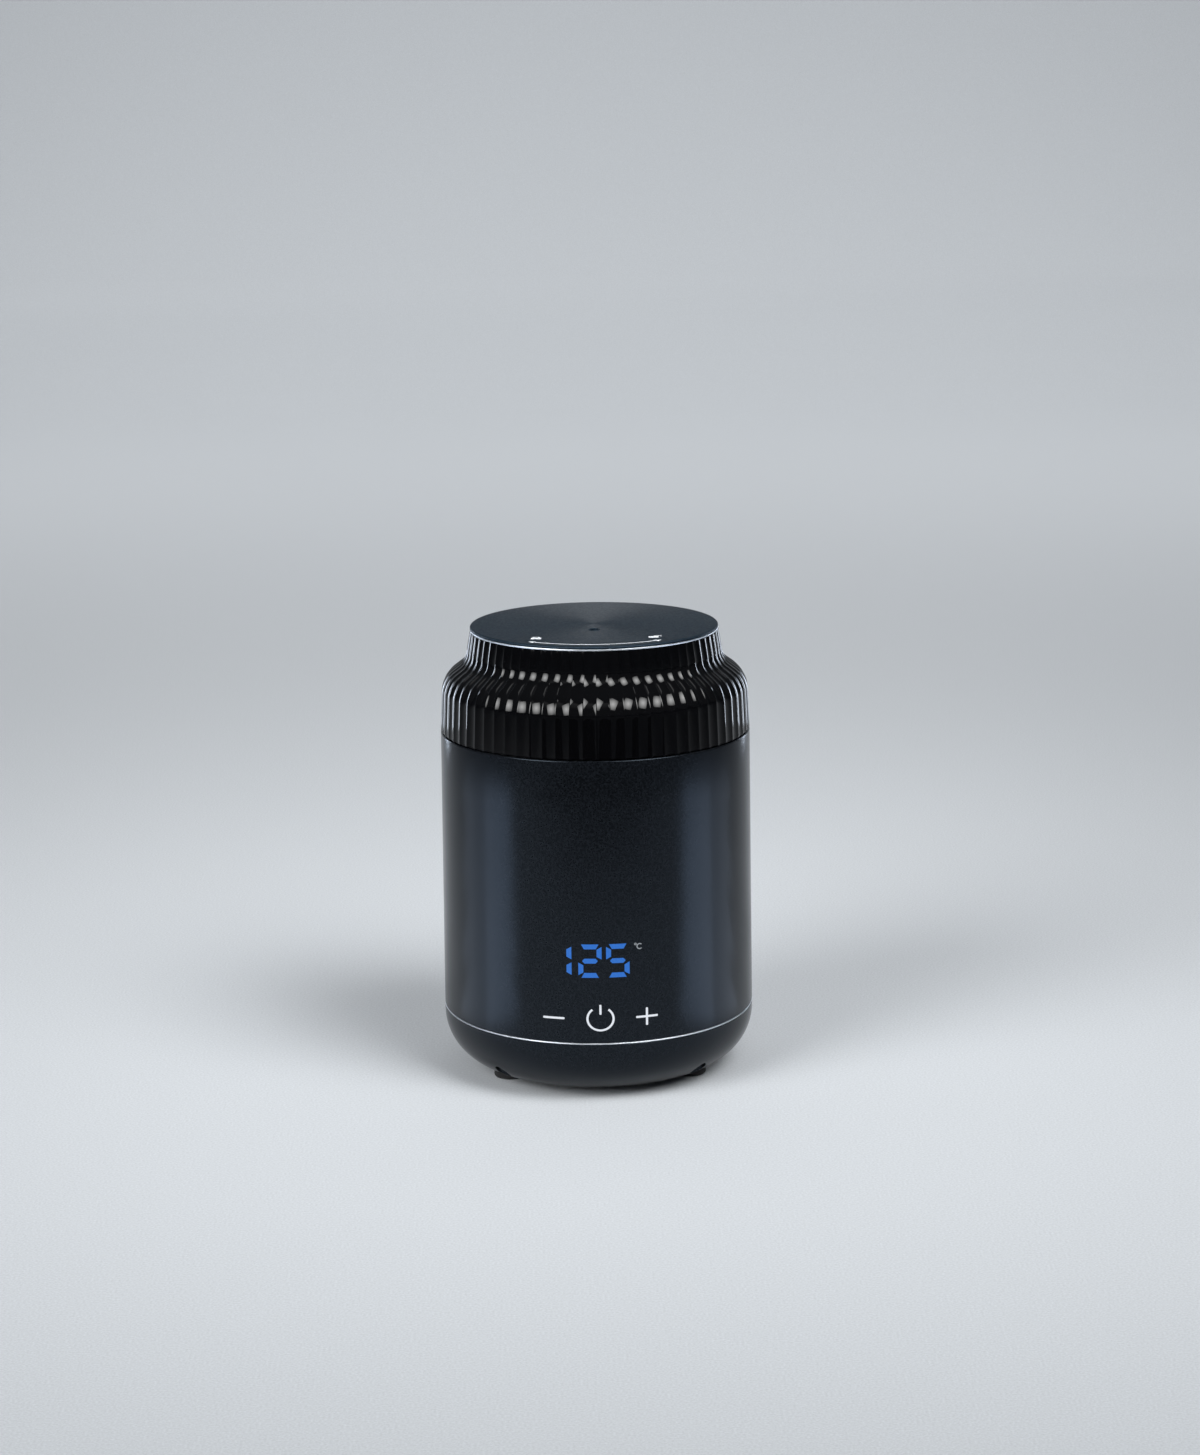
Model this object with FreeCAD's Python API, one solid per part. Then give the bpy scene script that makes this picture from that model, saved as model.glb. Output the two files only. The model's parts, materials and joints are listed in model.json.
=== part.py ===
"""Table-top wax heater with a fluted twist lid and a lift-out pot.

Millimetres, +Z up, origin on the table under the axis, front towards -Y.
Azimuths are degrees from the front, growing towards +X.
Radii are stacked from the pot outwards and heights from the table upwards.
"""
import FreeCAD
import Part
import math
import os

# Clearances and cuts
cut_overrun = 2.0
seat_gap = 0.3
running_gap = 0.05
push_gap = 0.1

# Pot and the layers round it, from the axis outwards
pot_radius = 42.5
pot_wall = 1.2
pot_corner_round = 6.0
pot_rim_width = 5.8
pot_rim_thickness = 1.5
pot_side_gap = 0.6
pot_floor_gap = 0.4
well_wall = 1.8
well_floor = 2.5
well_corner_round = 5.0
well_flange_width = 6.2
well_flange_thickness = 1.8
gasket_thickness = 0.5
band_thickness = 1.5
band_floor_lift = 12.0
band_top_drop = 11.95
band_split_angle = 10.0
wrap_thickness = 3.5
wrap_overhang = 3.0
wrap_gap_angle = 50.0
wrap_air_gap = 3.5

# Housing and lower seam
housing_wall = 2.3
housing_draft = 0.7
housing_height = 104.15
housing_edge_round = 0.5
trim_height = 0.7
trim_width = 2.2
trim_stand = 0.05

# Base cover and feet
foot_drop = 2.2
foot_radius = 6.0
foot_round = 0.9
foot_seat_depth = 1.45
foot_circle_radius = 38.8
foot_count = 3
foot_first_azimuth = 60.0
base_height = 21.45
base_round = 19.5
base_wall = 2.4
vent_count = 10
vent_width = 2.2
vent_length = 12.0
vent_circle_radius = 16.0

# Screws that hold the base to posts in the housing
post_count = 4
post_first_azimuth = 45.0
post_radius = 4.0
post_wall_gap = 0.3
post_height = 15.0
post_web = 3.0
base_screw_radius = 1.4
base_screw_head_radius = 2.8
base_screw_head_height = 2.0
base_screw_grip = 8.0
base_screw_length = 18.0
screw_hole_gap = 0.15

# Collar, with the ledge for the pot and the bayonet ramps
collar_flange = 4.0
collar_rebate = 1.0
collar_upstand_height = 8.5
collar_upstand_wall = 2.0
collar_ledge_width = 2.9
collar_ledge_drop = 2.7
collar_pot_gap = 0.4
hook_count = 3
hook_first_azimuth = 90.0
hook_angle = 16.0
hook_length = 8.5
hook_thickness = 1.4
hook_barb = 0.7
hook_barb_height = 1.8
bayonet_count = 3
ramp_start_angle = -62.0
ramp_end_angle = -14.0
ramp_thickness = 2.2
ramp_rise = 4.1
stop_angle = 4.0
stop_start_angle = -43.0
lug_angle = 16.0
lug_thickness = 2.6
bayonet_gap = 0.4
well_screw_count = 3
well_screw_first_azimuth = 30.0
well_screw_radius = 1.4
well_screw_head_radius = 2.4
well_screw_head_height = 2.0
well_screw_bite = 2.6

# Lid shell: skirt, round shoulder, hollow curve and neck
seam_gap = 0.25
lid_wall = 2.2
lid_skirt_height = 14.2
lid_skirt_taper = 0.65
shoulder_radius = 10.6
hollow_radius = 7.0
shoulder_slope = 53.9
shoulder_run = 3.0
neck_height = 7.0
neck_taper = 1.2
lid_roof = 2.0
flute_count = 72
flute_depth = 0.3
arc_stations = 5

# Lid top plate, hub and liner
top_plate_thickness = 1.7
top_plate_round = 0.7
vent_hole_radius = 2.1
vent_hole_offset = 12.5
vent_chamfer = 0.5
hub_radius = 4.0
hub_shoulder_radius = 7.0
hub_tip = 2.0
liner_thickness = 1.6
liner_edge_gap = 0.2
liner_lip_width = 1.2
liner_lip_height = 1.7
liner_hole_radius = 1.5
liner_hole_count = 3
liner_hole_circle_radius = 20.0
seal_width = 3.5
seal_height = 2.6
retainer_width = 3.5
retainer_thickness = 1.0

# Display board, behind the front wall
key_height = 9.9
key_azimuth = 17.0
digit_height = 31.2
led_side_margin = 10.0
led_height = 19.0
led_depth = 8.0
led_offset = -1.0
led_digit_count = 3
led_face_margin = 1.6
led_face_recess = 0.4
led_wall_gap = 0.4
window_wall = 1.0
board_thickness = 1.6
display_board_extra = 5.0
display_board_margin = 1.2
display_board_floor_gap = 2.6
display_boss_radius = 2.6
display_boss_inset = 4.0
display_screw_radius = 1.1
display_screw_head_radius = 2.0
display_screw_head_height = 1.3
display_screw_bite = 3.5
baffle_wall = 1.4
baffle_overlap = 2.5
plug_foot_radius = 4.2
plug_foot_thickness = 0.8
plug_radius = 3.2
plug_tip_radius = 2.4
chip_width = 10.0
chip_thickness = 1.6
chip_height_share = 0.6

# Power board, on bosses in the base
power_board_width = 60.0
power_board_depth = 52.0
power_board_lift = 9.0
power_boss_radius = 3.2
power_boss_inset = 4.5
power_screw_radius = 1.2
power_screw_head_radius = 2.3
power_screw_head_height = 1.5
power_screw_bite = 5.0
module_side_strip = 9.0
module_depth = 34.0
module_height = 18.0
module_edge_round = 1.2
relay_depth = 18.0
relay_height = 15.5
relay_edge_round = 0.8
capacitor_radius = 5.0
capacitor_edge_gap = 1.5
capacitor_height = 16.0
capacitor_edge_round = 0.8
capacitor_groove = 0.5
terminal_edge_gap = 7.0
terminal_depth = 8.0
terminal_height = 10.0
terminal_ways = 4
terminal_screw_radius = 1.6
terminal_screw_drop = 2.0
part_gap = 2.0
board_front_strip = 6.0

# Heat shield under the well
shield_drop = 10.0
shield_thickness = 0.8
shield_wall_gap = 1.5
shield_board_gap = 2.5
shield_notch_width = 40.0
shield_notch_depth = 11.0
shield_grommet_gap = 1.2
standoff_count = 3
standoff_radius = 2.5
standoff_inset = 12.1
standoff_stud_radius = 1.25
standoff_stud_bite = 1.6
shield_nut_radius = 2.75
shield_nut_height = 2.2

# Sensor and fuse clamped under the well
sensor_radius = 2.0
sensor_length = 11.0
fuse_length = 14.0
sensor_spacing = 12.0
clip_thickness = 0.8
clip_width = 6.0
clip_flange = 5.0
clip_screw_radius = 1.0
clip_screw_head_radius = 1.8
clip_screw_head_height = 1.2
clip_screw_bite = 1.6

# Band ears, clamp screw and terminals
ear_length = 5.0
ear_height_share = 0.6
clamp_screw_radius = 1.25
clamp_screw_head_radius = 2.3
clamp_screw_head_height = 1.6
band_terminal_azimuth = 19.0
band_terminal_width = 5.0
band_terminal_depth = 3.0
band_terminal_height = 8.0

# Mains inlet in the rear wall
inlet_height = 13.9
inlet_plate_width = 26.0
inlet_plate_height = 16.0
inlet_plate_thickness = 1.6
inlet_plate_inset = 1.9
inlet_corner_round = 2.0
inlet_body_width = 20.0
inlet_body_height = 12.0
inlet_body_depth = 16.5
inlet_mouth_width = 14.8
inlet_mouth_height = 7.6
inlet_mouth_depth = 12.0
inlet_pad_wall = 3.0
inlet_pad_depth = 4.0
pin_radius = 1.2
pin_spacing = 8.6
pin_setback = 1.5
pin_tab_length = 5.0

# Leads
lead_radius = 0.9
lead_bend_share = 0.45
lead_approach = 12.0
lead_inlet_gap = 4.0
ribbon_width = 14.0
ribbon_thickness = 1.0
ribbon_lift = 5.0

# Radii from the axis outwards
pot_outer_radius = pot_radius + pot_wall
pot_rim_radius = pot_outer_radius + pot_rim_width
well_radius = pot_outer_radius + pot_side_gap
well_outer_radius = well_radius + well_wall
well_flange_radius = well_outer_radius + well_flange_width
standoff_circle_radius = well_outer_radius - standoff_inset
band_radius = well_outer_radius + push_gap
band_outer_radius = band_radius + band_thickness
wrap_radius = band_outer_radius + seat_gap
wrap_outer_radius = wrap_radius + wrap_thickness
housing_bore = wrap_outer_radius + wrap_air_gap
housing_top_radius = housing_bore + housing_wall
housing_bottom_radius = housing_top_radius + housing_draft
collar_seat_radius = housing_bore + collar_rebate
collar_radius = collar_seat_radius - push_gap
upstand_bore = pot_rim_radius + collar_pot_gap
upstand_radius = upstand_bore + collar_upstand_wall
lid_bore = housing_top_radius - lid_skirt_taper - lid_wall
liner_radius = pot_rim_radius - liner_edge_gap
post_circle_radius = housing_bore - post_wall_gap - post_radius

# Heights from the table upwards
base_bottom_z = foot_drop
base_floor_z = base_bottom_z + base_wall
base_top_z = base_bottom_z + base_height
housing_bottom_z = base_top_z + trim_height
housing_top_z = housing_bottom_z + housing_height
key_z = housing_bottom_z + key_height
digit_z = housing_bottom_z + digit_height
inlet_z = housing_bottom_z + inlet_height
display_board_bottom_z = housing_bottom_z + display_board_floor_gap
display_board_top_z = digit_z + led_height / 2 + display_board_margin
collar_ledge_z = housing_top_z - collar_flange
upstand_top_z = housing_top_z + collar_upstand_height
pot_ledge_z = upstand_top_z - collar_ledge_drop
pot_rim_z = pot_ledge_z + pot_rim_thickness
well_bottom_z = display_board_top_z + part_gap
well_floor_z = well_bottom_z + well_floor
well_flange_z = collar_ledge_z - gasket_thickness
pot_bottom_z = well_floor_z + pot_floor_gap
pot_round_z = pot_bottom_z + pot_corner_round
band_bottom_z = well_bottom_z + band_floor_lift
band_top_z = well_flange_z - well_flange_thickness - band_top_drop
band_middle_z = (band_bottom_z + band_top_z) / 2
ear_height = ear_height_share * (band_top_z - band_bottom_z)
shield_z = well_bottom_z - shield_drop
power_board_z = base_floor_z + power_board_lift
power_board_top_z = power_board_z + board_thickness
seal_z = pot_rim_z + seat_gap
liner_z = seal_z + seal_height
liner_top_z = liner_z + liner_thickness
lid_bottom_z = housing_top_z + seam_gap
lug_top_z = housing_top_z + ramp_rise - bayonet_gap

# Lid profile, in which the shoulder and the hollow turn through one angle
slope_sine = math.sin(math.radians(shoulder_slope))
slope_cosine = math.cos(math.radians(shoulder_slope))
skirt_top_z = lid_bottom_z + lid_skirt_height
skirt_top_radius = housing_top_radius - lid_skirt_taper
turn_share = 1 - slope_cosine
run_start_radius = skirt_top_radius - shoulder_radius * turn_share
run_start_z = skirt_top_z + shoulder_radius * slope_sine
run_end_radius = run_start_radius - shoulder_run * slope_sine
run_end_z = run_start_z + shoulder_run * slope_cosine
neck_radius = run_end_radius - hollow_radius * turn_share
neck_z = run_end_z + hollow_radius * slope_sine
neck_top_z = neck_z + neck_height
neck_top_radius = neck_radius - neck_taper
roof_z = neck_top_z - lid_roof
lid_top_z = neck_top_z + top_plate_thickness

# Widths of the boards and of what stands on them
display_board_width = housing_bore + display_board_extra
led_width = display_board_width - 2 * led_side_margin
half_board = power_board_width / 2
module_width = half_board - module_side_strip - part_gap / 2
terminal_width = half_board - terminal_edge_gap - part_gap / 2
capacitor_x = half_board - capacitor_edge_gap - capacitor_radius
relay_width = capacitor_x - capacitor_radius - 1.5 * part_gap

# Front planes of the display and the rear planes of the inlet
led_reach = led_width / 2 + abs(led_offset)
led_front_y = led_wall_gap - math.sqrt(housing_bore ** 2 - led_reach ** 2)
display_board_front_y = led_front_y + led_depth
display_board_back_y = display_board_front_y + board_thickness
inlet_seat_y = housing_bottom_radius - inlet_plate_inset - inlet_plate_thickness
inlet_face_y = inlet_seat_y + inlet_plate_thickness
inlet_back_y = inlet_seat_y - inlet_body_depth
inlet_tab_y = inlet_back_y - pin_tab_length
board_row_y = board_front_strip - power_board_depth / 2
sensor_z = well_bottom_z - sensor_radius - running_gap
sensor_lead_x = power_boss_inset - half_board

# Share of full length along an axis beyond which an edge counts as parallel to it
parallel_share = 0.9

axis_x = FreeCAD.Vector(1, 0, 0)
axis_y = FreeCAD.Vector(0, 1, 0)
axis_z = FreeCAD.Vector(0, 0, 1)
origin = FreeCAD.Vector(0, 0, 0)


def point(x, y, z):
    return FreeCAD.Vector(x, y, z)


def spot(radius, azimuth, z):
    """Point at a radius, an azimuth from the front and a height."""
    angle = math.radians(azimuth)
    return point(radius * math.sin(angle), -radius * math.cos(angle), z)


def azimuths(count, first):
    return [first + 360 * index / count for index in range(count)]


def turned(start, *moves):
    """Solid of revolution of an outline of (radius, height) points.

    A move is a point for a straight edge, or a pair of points, the middle
    and the end, for an arc.
    """
    def lift(pair):
        return point(pair[0], 0, pair[1])

    edges = []
    here = start
    for move in moves + (start,):
        if isinstance(move[0], tuple):
            edges.append(Part.Arc(lift(here), lift(move[0]), lift(move[1])).toShape())
            here = move[1]
        elif move != here:
            edges.append(Part.makeLine(lift(here), lift(move)))
            here = move
    return Part.Face(Part.Wire(edges)).revolve(origin, axis_z, 360)


def corner_arc(centre_radius, centre_z, radius, start_angle, end_angle):
    """Middle and end of an arc in the (radius, height) plane."""
    def place(angle):
        turn = math.radians(angle)
        return (centre_radius + radius * math.cos(turn), centre_z + radius * math.sin(turn))

    return (place((start_angle + end_angle) / 2), place(end_angle))


def ring(inner, outer, low, high):
    return turned((inner, low), (outer, low), (outer, high), (inner, high))


def sector(inner, outer, low, high, start_azimuth, end_azimuth):
    """Part of a ring between two azimuths."""
    face = Part.Face(Part.makePolygon([
        point(inner, 0, low),
        point(outer, 0, low),
        point(outer, 0, high),
        point(inner, 0, high),
        point(inner, 0, low),
    ]))
    piece = face.revolve(origin, axis_z, end_azimuth - start_azimuth)
    piece.rotate(origin, axis_z, start_azimuth - 90)
    return piece


def upright(radius, low, high, centre):
    """Vertical rod between two heights, on the axis through a point."""
    return Part.makeCylinder(radius, high - low, point(centre.x, centre.y, low), axis_z)


def block(width, depth, height, centre_x, centre_y, low):
    corner = point(centre_x - width / 2, centre_y - depth / 2, low)
    return Part.makeBox(width, depth, height, corner)


def rounded_plate(width, height, round_radius, front, thickness, centre_z):
    """Plate across Y with round corners."""
    plate = Part.makeBox(width, thickness, height, point(-width / 2, front, centre_z - height / 2))
    edges = [edge for edge in plate.Edges if abs(edge.tangentAt(edge.FirstParameter).y) > parallel_share]
    return plate.makeFillet(round_radius, edges)


def rounded_upright(box, round_radius):
    """Box with round vertical edges and round upper edges."""
    top = box.BoundBox.ZMax
    edges = []
    for edge in box.Edges:
        vertical = abs(edge.tangentAt(edge.FirstParameter).z) > parallel_share
        if vertical or edge.BoundBox.ZMin > top - round_radius / 2:
            edges.append(edge)
    return box.makeFillet(round_radius, edges)


def lead(points):
    """Round lead through points, with the largest tangent bend at each one."""
    edges = []
    here = points[0]
    for before, corner, after in zip(points, points[1:], points[2:]):
        toward = (before - corner).normalize()
        onward = (after - corner).normalize()
        half_turn = (math.pi - toward.getAngle(onward)) / 2
        reach = lead_bend_share * min((before - corner).Length, (after - corner).Length)
        radius = reach / math.tan(half_turn)
        print("lead bend radius", round(radius, 1))
        start = corner + toward * reach
        end = corner + onward * reach
        inward = (toward + onward).normalize()
        middle = corner + inward * (radius / math.cos(half_turn) - radius)
        edges.append(Part.makeLine(here, start))
        edges.append(Part.Arc(start, middle, end).toShape())
        here = end
    edges.append(Part.makeLine(here, points[-1]))
    path = Part.Wire(edges)
    direction = (points[1] - points[0]).normalize()
    section = Part.Wire(Part.makeCircle(lead_radius, points[0], direction))
    return path.makePipeShell([section], True, False)


def headed_screw(centre, head_z, head_height, head_radius, shank_radius, shank_length, up):
    """Screw whose head seats at head_z and whose shank points up or down."""
    way = 1 if up else -1
    head_low = head_z - head_height if up else head_z
    shank_low = head_z if up else head_z - shank_length
    head = upright(head_radius, head_low, head_low + head_height, centre)
    shank = upright(shank_radius, shank_low, shank_low + shank_length, centre)
    slot_z = head_low if way > 0 else head_low + head_height
    slot = Part.makeBox(head_radius, shank_radius / 2, head_height, point(
        centre.x - head_radius / 2, centre.y - shank_radius / 4, slot_z - head_height / 2))
    return head.fuse(shank).cut(slot).removeSplitter()


def wax_pot():
    """Lift-out wall with a flat rim that rests on the collar's ledge."""
    return turned(
        (pot_outer_radius, pot_round_z),
        (pot_outer_radius, pot_ledge_z),
        (pot_rim_radius, pot_ledge_z),
        (pot_rim_radius, pot_rim_z),
        (pot_radius, pot_rim_z),
        (pot_radius, pot_round_z),
    )


def pot_base():
    """Pressed dish welded under the pot's wall."""
    inner_round = pot_corner_round - pot_wall
    round_radius = pot_outer_radius - pot_corner_round
    return turned(
        (0, pot_bottom_z),
        (round_radius, pot_bottom_z),
        corner_arc(round_radius, pot_round_z, pot_corner_round, -90, 0),
        (pot_radius, pot_round_z),
        corner_arc(round_radius, pot_round_z, inner_round, 0, -90),
        (0, pot_bottom_z + pot_wall),
    )


def heater_well():
    """Metal cup that the pot hangs in, screwed under the collar."""
    inner_round = well_corner_round - well_wall
    round_z = well_bottom_z + well_corner_round
    round_radius = well_outer_radius - well_corner_round
    inner_round_z = well_floor_z + inner_round
    cup = turned(
        (0, well_bottom_z),
        (round_radius, well_bottom_z),
        corner_arc(round_radius, round_z, well_corner_round, -90, 0),
        (well_outer_radius, well_flange_z - well_flange_thickness),
        (well_flange_radius, well_flange_z - well_flange_thickness),
        (well_flange_radius, well_flange_z),
        (well_radius, well_flange_z),
        (well_radius, inner_round_z),
        corner_arc(well_radius - inner_round, inner_round_z, inner_round, 0, -90),
        (0, well_floor_z),
    )
    tools = []
    for centre in well_screw_spots():
        tools.append(upright(well_screw_radius + screw_hole_gap, well_flange_z - well_flange_thickness,
                             well_flange_z, centre))
    for centre in standoff_spots():
        tools.append(upright(standoff_stud_radius, well_bottom_z, well_bottom_z + standoff_stud_bite, centre))
    for centre in clip_screw_spots():
        tools.append(upright(clip_screw_radius, well_bottom_z, well_bottom_z + clip_screw_bite, centre))
    return cup.cut(tools)


def well_screw_spots():
    radius = well_flange_radius - well_screw_head_radius - seat_gap
    return [spot(radius, azimuth, 0) for azimuth in azimuths(well_screw_count, well_screw_first_azimuth)]


def well_gasket():
    gasket = ring(well_radius, well_flange_radius, well_flange_z, collar_ledge_z)
    holes = [upright(well_screw_radius + screw_hole_gap, well_flange_z, collar_ledge_z, centre)
             for centre in well_screw_spots()]
    return gasket.cut(holes)


def well_screws():
    head_z = well_flange_z - well_flange_thickness
    length = collar_ledge_z - head_z + well_screw_bite
    return [headed_screw(centre, head_z, well_screw_head_height, well_screw_head_radius,
                         well_screw_radius, length, True) for centre in well_screw_spots()]


def top_collar():
    """Ring that closes the housing, holds the pot and carries the bayonet."""
    ledge_bore = upstand_bore - collar_ledge_width
    body = turned(
        (well_radius, collar_ledge_z),
        (collar_radius, collar_ledge_z),
        (collar_radius, housing_top_z),
        (upstand_radius, housing_top_z),
        (upstand_radius, upstand_top_z),
        (upstand_bore, upstand_top_z),
        (upstand_bore, pot_ledge_z),
        (ledge_bore, pot_ledge_z),
        (ledge_bore, housing_top_z),
        (well_radius, housing_top_z),
    )
    ramp_z = housing_top_z + ramp_rise
    ramp_radius = lid_bore - bayonet_gap
    root = upstand_radius - collar_upstand_wall / 2
    added = []
    for azimuth in azimuths(bayonet_count, 0):
        added.append(sector(root, ramp_radius, ramp_z, ramp_z + ramp_thickness,
                            azimuth + ramp_start_angle, azimuth + ramp_end_angle))
        added.append(sector(root, ramp_radius, housing_top_z - collar_flange / 2, ramp_z + ramp_thickness / 2,
                            azimuth + stop_start_angle, azimuth + stop_start_angle + stop_angle))
    hook_radius = housing_bore - seat_gap
    barb_z = collar_ledge_z - hook_length
    for azimuth in azimuths(hook_count, hook_first_azimuth):
        start = azimuth - hook_angle / 2
        end = azimuth + hook_angle / 2
        added.append(sector(hook_radius - hook_thickness, hook_radius, barb_z,
                            collar_ledge_z + collar_flange / 2, start, end))
        added.append(sector(hook_radius - hook_thickness / 2, housing_bore + hook_barb, barb_z,
                            barb_z + hook_barb_height, start, end))
    holes = [upright(well_screw_radius, collar_ledge_z, collar_ledge_z + well_screw_bite, centre)
             for centre in well_screw_spots()]
    return body.fuse(added).cut(holes).removeSplitter()


def band_heater():
    """Split heating band with clamp ears and two terminals at the rear."""
    half_split = band_split_angle / 2
    band = sector(band_radius, band_outer_radius, band_bottom_z, band_top_z,
                  half_split - 180, 180 - half_split)
    ear_x = band_radius * math.sin(math.radians(half_split))
    ear_low = band_middle_z - ear_height / 2
    ear_root = band_radius * math.cos(math.radians(half_split))
    ear_tip = band_outer_radius + ear_length
    added = []
    for side in (-1, 1):
        centre_x = side * (ear_x + band_thickness / 2)
        ear = block(band_thickness, ear_tip - ear_root, ear_height,
                    centre_x, (ear_tip + ear_root) / 2, ear_low)
        added.append(ear.cut(upright(band_radius, ear_low, ear_low + ear_height, origin)))
        centre = spot(band_outer_radius, 180 - side * band_terminal_azimuth, 0)
        terminal = block(band_terminal_width, band_terminal_depth * 2, band_terminal_height,
                         0, 0, band_bottom_z)
        terminal.rotate(origin, axis_z, -side * band_terminal_azimuth)
        terminal.translate(centre)
        added.append(terminal.cut(upright(band_radius, band_bottom_z, band_top_z, origin)))
    hole_end = ear_x + band_thickness + cut_overrun
    hole = Part.makeCylinder(clamp_screw_radius + screw_hole_gap, 2 * hole_end,
                             point(-hole_end, clamp_screw_y(), band_middle_z), axis_x)
    return band.fuse(added).cut(hole).removeSplitter()


def clamp_screw_y():
    return band_outer_radius + ear_length / 2


def band_clamp_screw():
    """Cross screw and nut that pull the band's ears together."""
    ear_x = band_radius * math.sin(math.radians(band_split_angle / 2)) + band_thickness
    centre_y = clamp_screw_y()
    head = Part.makeCylinder(clamp_screw_head_radius, clamp_screw_head_height,
                             point(ear_x, centre_y, band_middle_z), axis_x)
    nut = Part.makeCylinder(clamp_screw_head_radius, clamp_screw_head_height,
                            point(-ear_x - clamp_screw_head_height, centre_y, band_middle_z), axis_x)
    shank = Part.makeCylinder(clamp_screw_radius, 2 * ear_x, point(-ear_x, centre_y, band_middle_z), axis_x)
    return head.fuse([nut, shank]).removeSplitter()


def insulation_wrap():
    """Felt blanket round the band, open at the rear for ears and terminals."""
    half_gap = wrap_gap_angle / 2
    return sector(wrap_radius, wrap_outer_radius, band_bottom_z - wrap_overhang, band_top_z + wrap_overhang,
                  half_gap - 180, 180 - half_gap)


def sensor_rows():
    """Distance from the axis and length of the two clamped sensors."""
    return ((sensor_spacing, sensor_length), (-sensor_spacing, fuse_length))


def clip_screw_spots():
    reach = sensor_radius + clip_thickness + clip_flange / 2
    return [point(0, sensor[0] + side * reach, 0) for sensor in sensor_rows() for side in (-1, 1)]


def clamped_sensor(row, length):
    body = Part.makeCylinder(sensor_radius, length, point(-length / 2, row, sensor_z), axis_x)
    return body.makeFillet(sensor_radius / 2, body.Edges)


def thermistor():
    row, length = sensor_rows()[0]
    return clamped_sensor(row, length)


def thermal_fuse():
    row, length = sensor_rows()[1]
    return clamped_sensor(row, length)


def sensor_clips():
    """Two saddle straps that press the sensors against the well's floor."""
    clips = []
    for sensor in sensor_rows():
        row = sensor[0]
        reach = sensor_radius + clip_thickness
        corner = point(-clip_width / 2, row, sensor_z)
        saddle = Part.makeCylinder(reach, clip_width, corner, axis_x)
        saddle = saddle.fuse([
            block(clip_width, 2 * reach, well_bottom_z - sensor_z, 0, row, sensor_z),
            block(clip_width, 2 * (reach + clip_flange), clip_thickness,
                  0, row, well_bottom_z - clip_thickness),
        ])
        bore = sensor_radius + running_gap
        saddle = saddle.cut([
            Part.makeCylinder(bore, clip_width, corner, axis_x),
            block(clip_width, 2 * bore, reach, 0, row, sensor_z),
        ])
        below = block(clip_width, 4 * (reach + clip_flange), 4 * reach, 0, row, well_bottom_z - 4 * reach)
        saddle = saddle.common(below)
        holes = [upright(clip_screw_radius + screw_hole_gap, well_bottom_z - clip_thickness, well_bottom_z,
                         centre) for centre in clip_screw_spots()]
        clips.append(saddle.cut(holes).removeSplitter())
    return clips


def clip_screws():
    head_z = well_bottom_z - clip_thickness
    return [headed_screw(centre, head_z, clip_screw_head_height, clip_screw_head_radius, clip_screw_radius,
                         clip_thickness + clip_screw_bite, True) for centre in clip_screw_spots()]


def standoff_spots():
    return [spot(standoff_circle_radius, azimuth, 0)
            for azimuth in azimuths(standoff_count, foot_first_azimuth)]


def heat_shield():
    """Sheet disc with a straight front edge, a turned-up lip and a rear notch."""
    radius = housing_bore - shield_wall_gap
    front_y = display_board_back_y + shield_board_gap
    disc = upright(radius, shield_z, shield_z + shield_thickness, origin)
    lip = block(2 * radius, shield_thickness, shield_drop / 2, 0, front_y + shield_thickness / 2, shield_z)
    lip = lip.common(upright(radius, shield_z, shield_z + shield_drop, origin))
    front_cut = block(2 * radius, radius, shield_thickness, 0, front_y - radius / 2, shield_z)
    rear_cut = block(shield_notch_width, 2 * shield_notch_depth, shield_thickness, 0, radius, shield_z)
    holes = [upright(standoff_stud_radius + screw_hole_gap, shield_z, shield_z + shield_thickness, centre)
             for centre in standoff_spots()]
    holes.append(upright(lead_radius + shield_grommet_gap, shield_z, shield_z + shield_thickness,
                         point(sensor_lead_x, sensor_spacing, 0)))
    return disc.cut([front_cut, rear_cut] + holes).fuse(lip).removeSplitter()


def shield_standoffs():
    """Spacers from the well's floor, with a stud at each end."""
    low = shield_z + shield_thickness
    spacers = []
    for centre in standoff_spots():
        body = upright(standoff_radius, low, well_bottom_z, centre)
        stud = upright(standoff_stud_radius, shield_z - shield_nut_height,
                       well_bottom_z + standoff_stud_bite, centre)
        spacers.append(body.fuse(stud).removeSplitter())
    return spacers


def hexagon(radius, low, high, centre):
    corners = [spot(radius / math.cos(math.pi / 6), azimuth, low) for azimuth in azimuths(6, 0)]
    outline = Part.makePolygon(corners + corners[:1])
    prism = Part.Face(outline).extrude(axis_z * (high - low))
    prism.translate(point(centre.x, centre.y, 0))
    return prism


def shield_nuts():
    low = shield_z - shield_nut_height
    return [hexagon(shield_nut_radius, low, shield_z, centre).cut(
        upright(standoff_stud_radius, low, shield_z, centre)) for centre in standoff_spots()]


def outer_skin(low, high):
    """Solid bounded by the housing's drafted outside, between two heights."""
    def radius_at(height):
        share = (height - housing_bottom_z) / housing_height
        return housing_bottom_radius - housing_draft * share

    return Part.makeCone(radius_at(low), radius_at(high), high - low, point(0, 0, low), axis_z)


def post_spots():
    return [spot(post_circle_radius, azimuth, 0) for azimuth in azimuths(post_count, post_first_azimuth)]


def webbed_rods(radius, circle_radius, wall_radius, low, high, count, first_azimuth, web):
    """Rods on a circle, each tied to the wall outside it by a web."""
    rods = []
    for azimuth in azimuths(count, first_azimuth):
        rods.append(upright(radius, low, high, spot(circle_radius, azimuth, 0)))
        rib = Part.makeBox(wall_radius - circle_radius, web, high - low, point(circle_radius, -web / 2, low))
        rib.rotate(origin, axis_z, azimuth - 90)
        rods.append(rib)
    return rods


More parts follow.
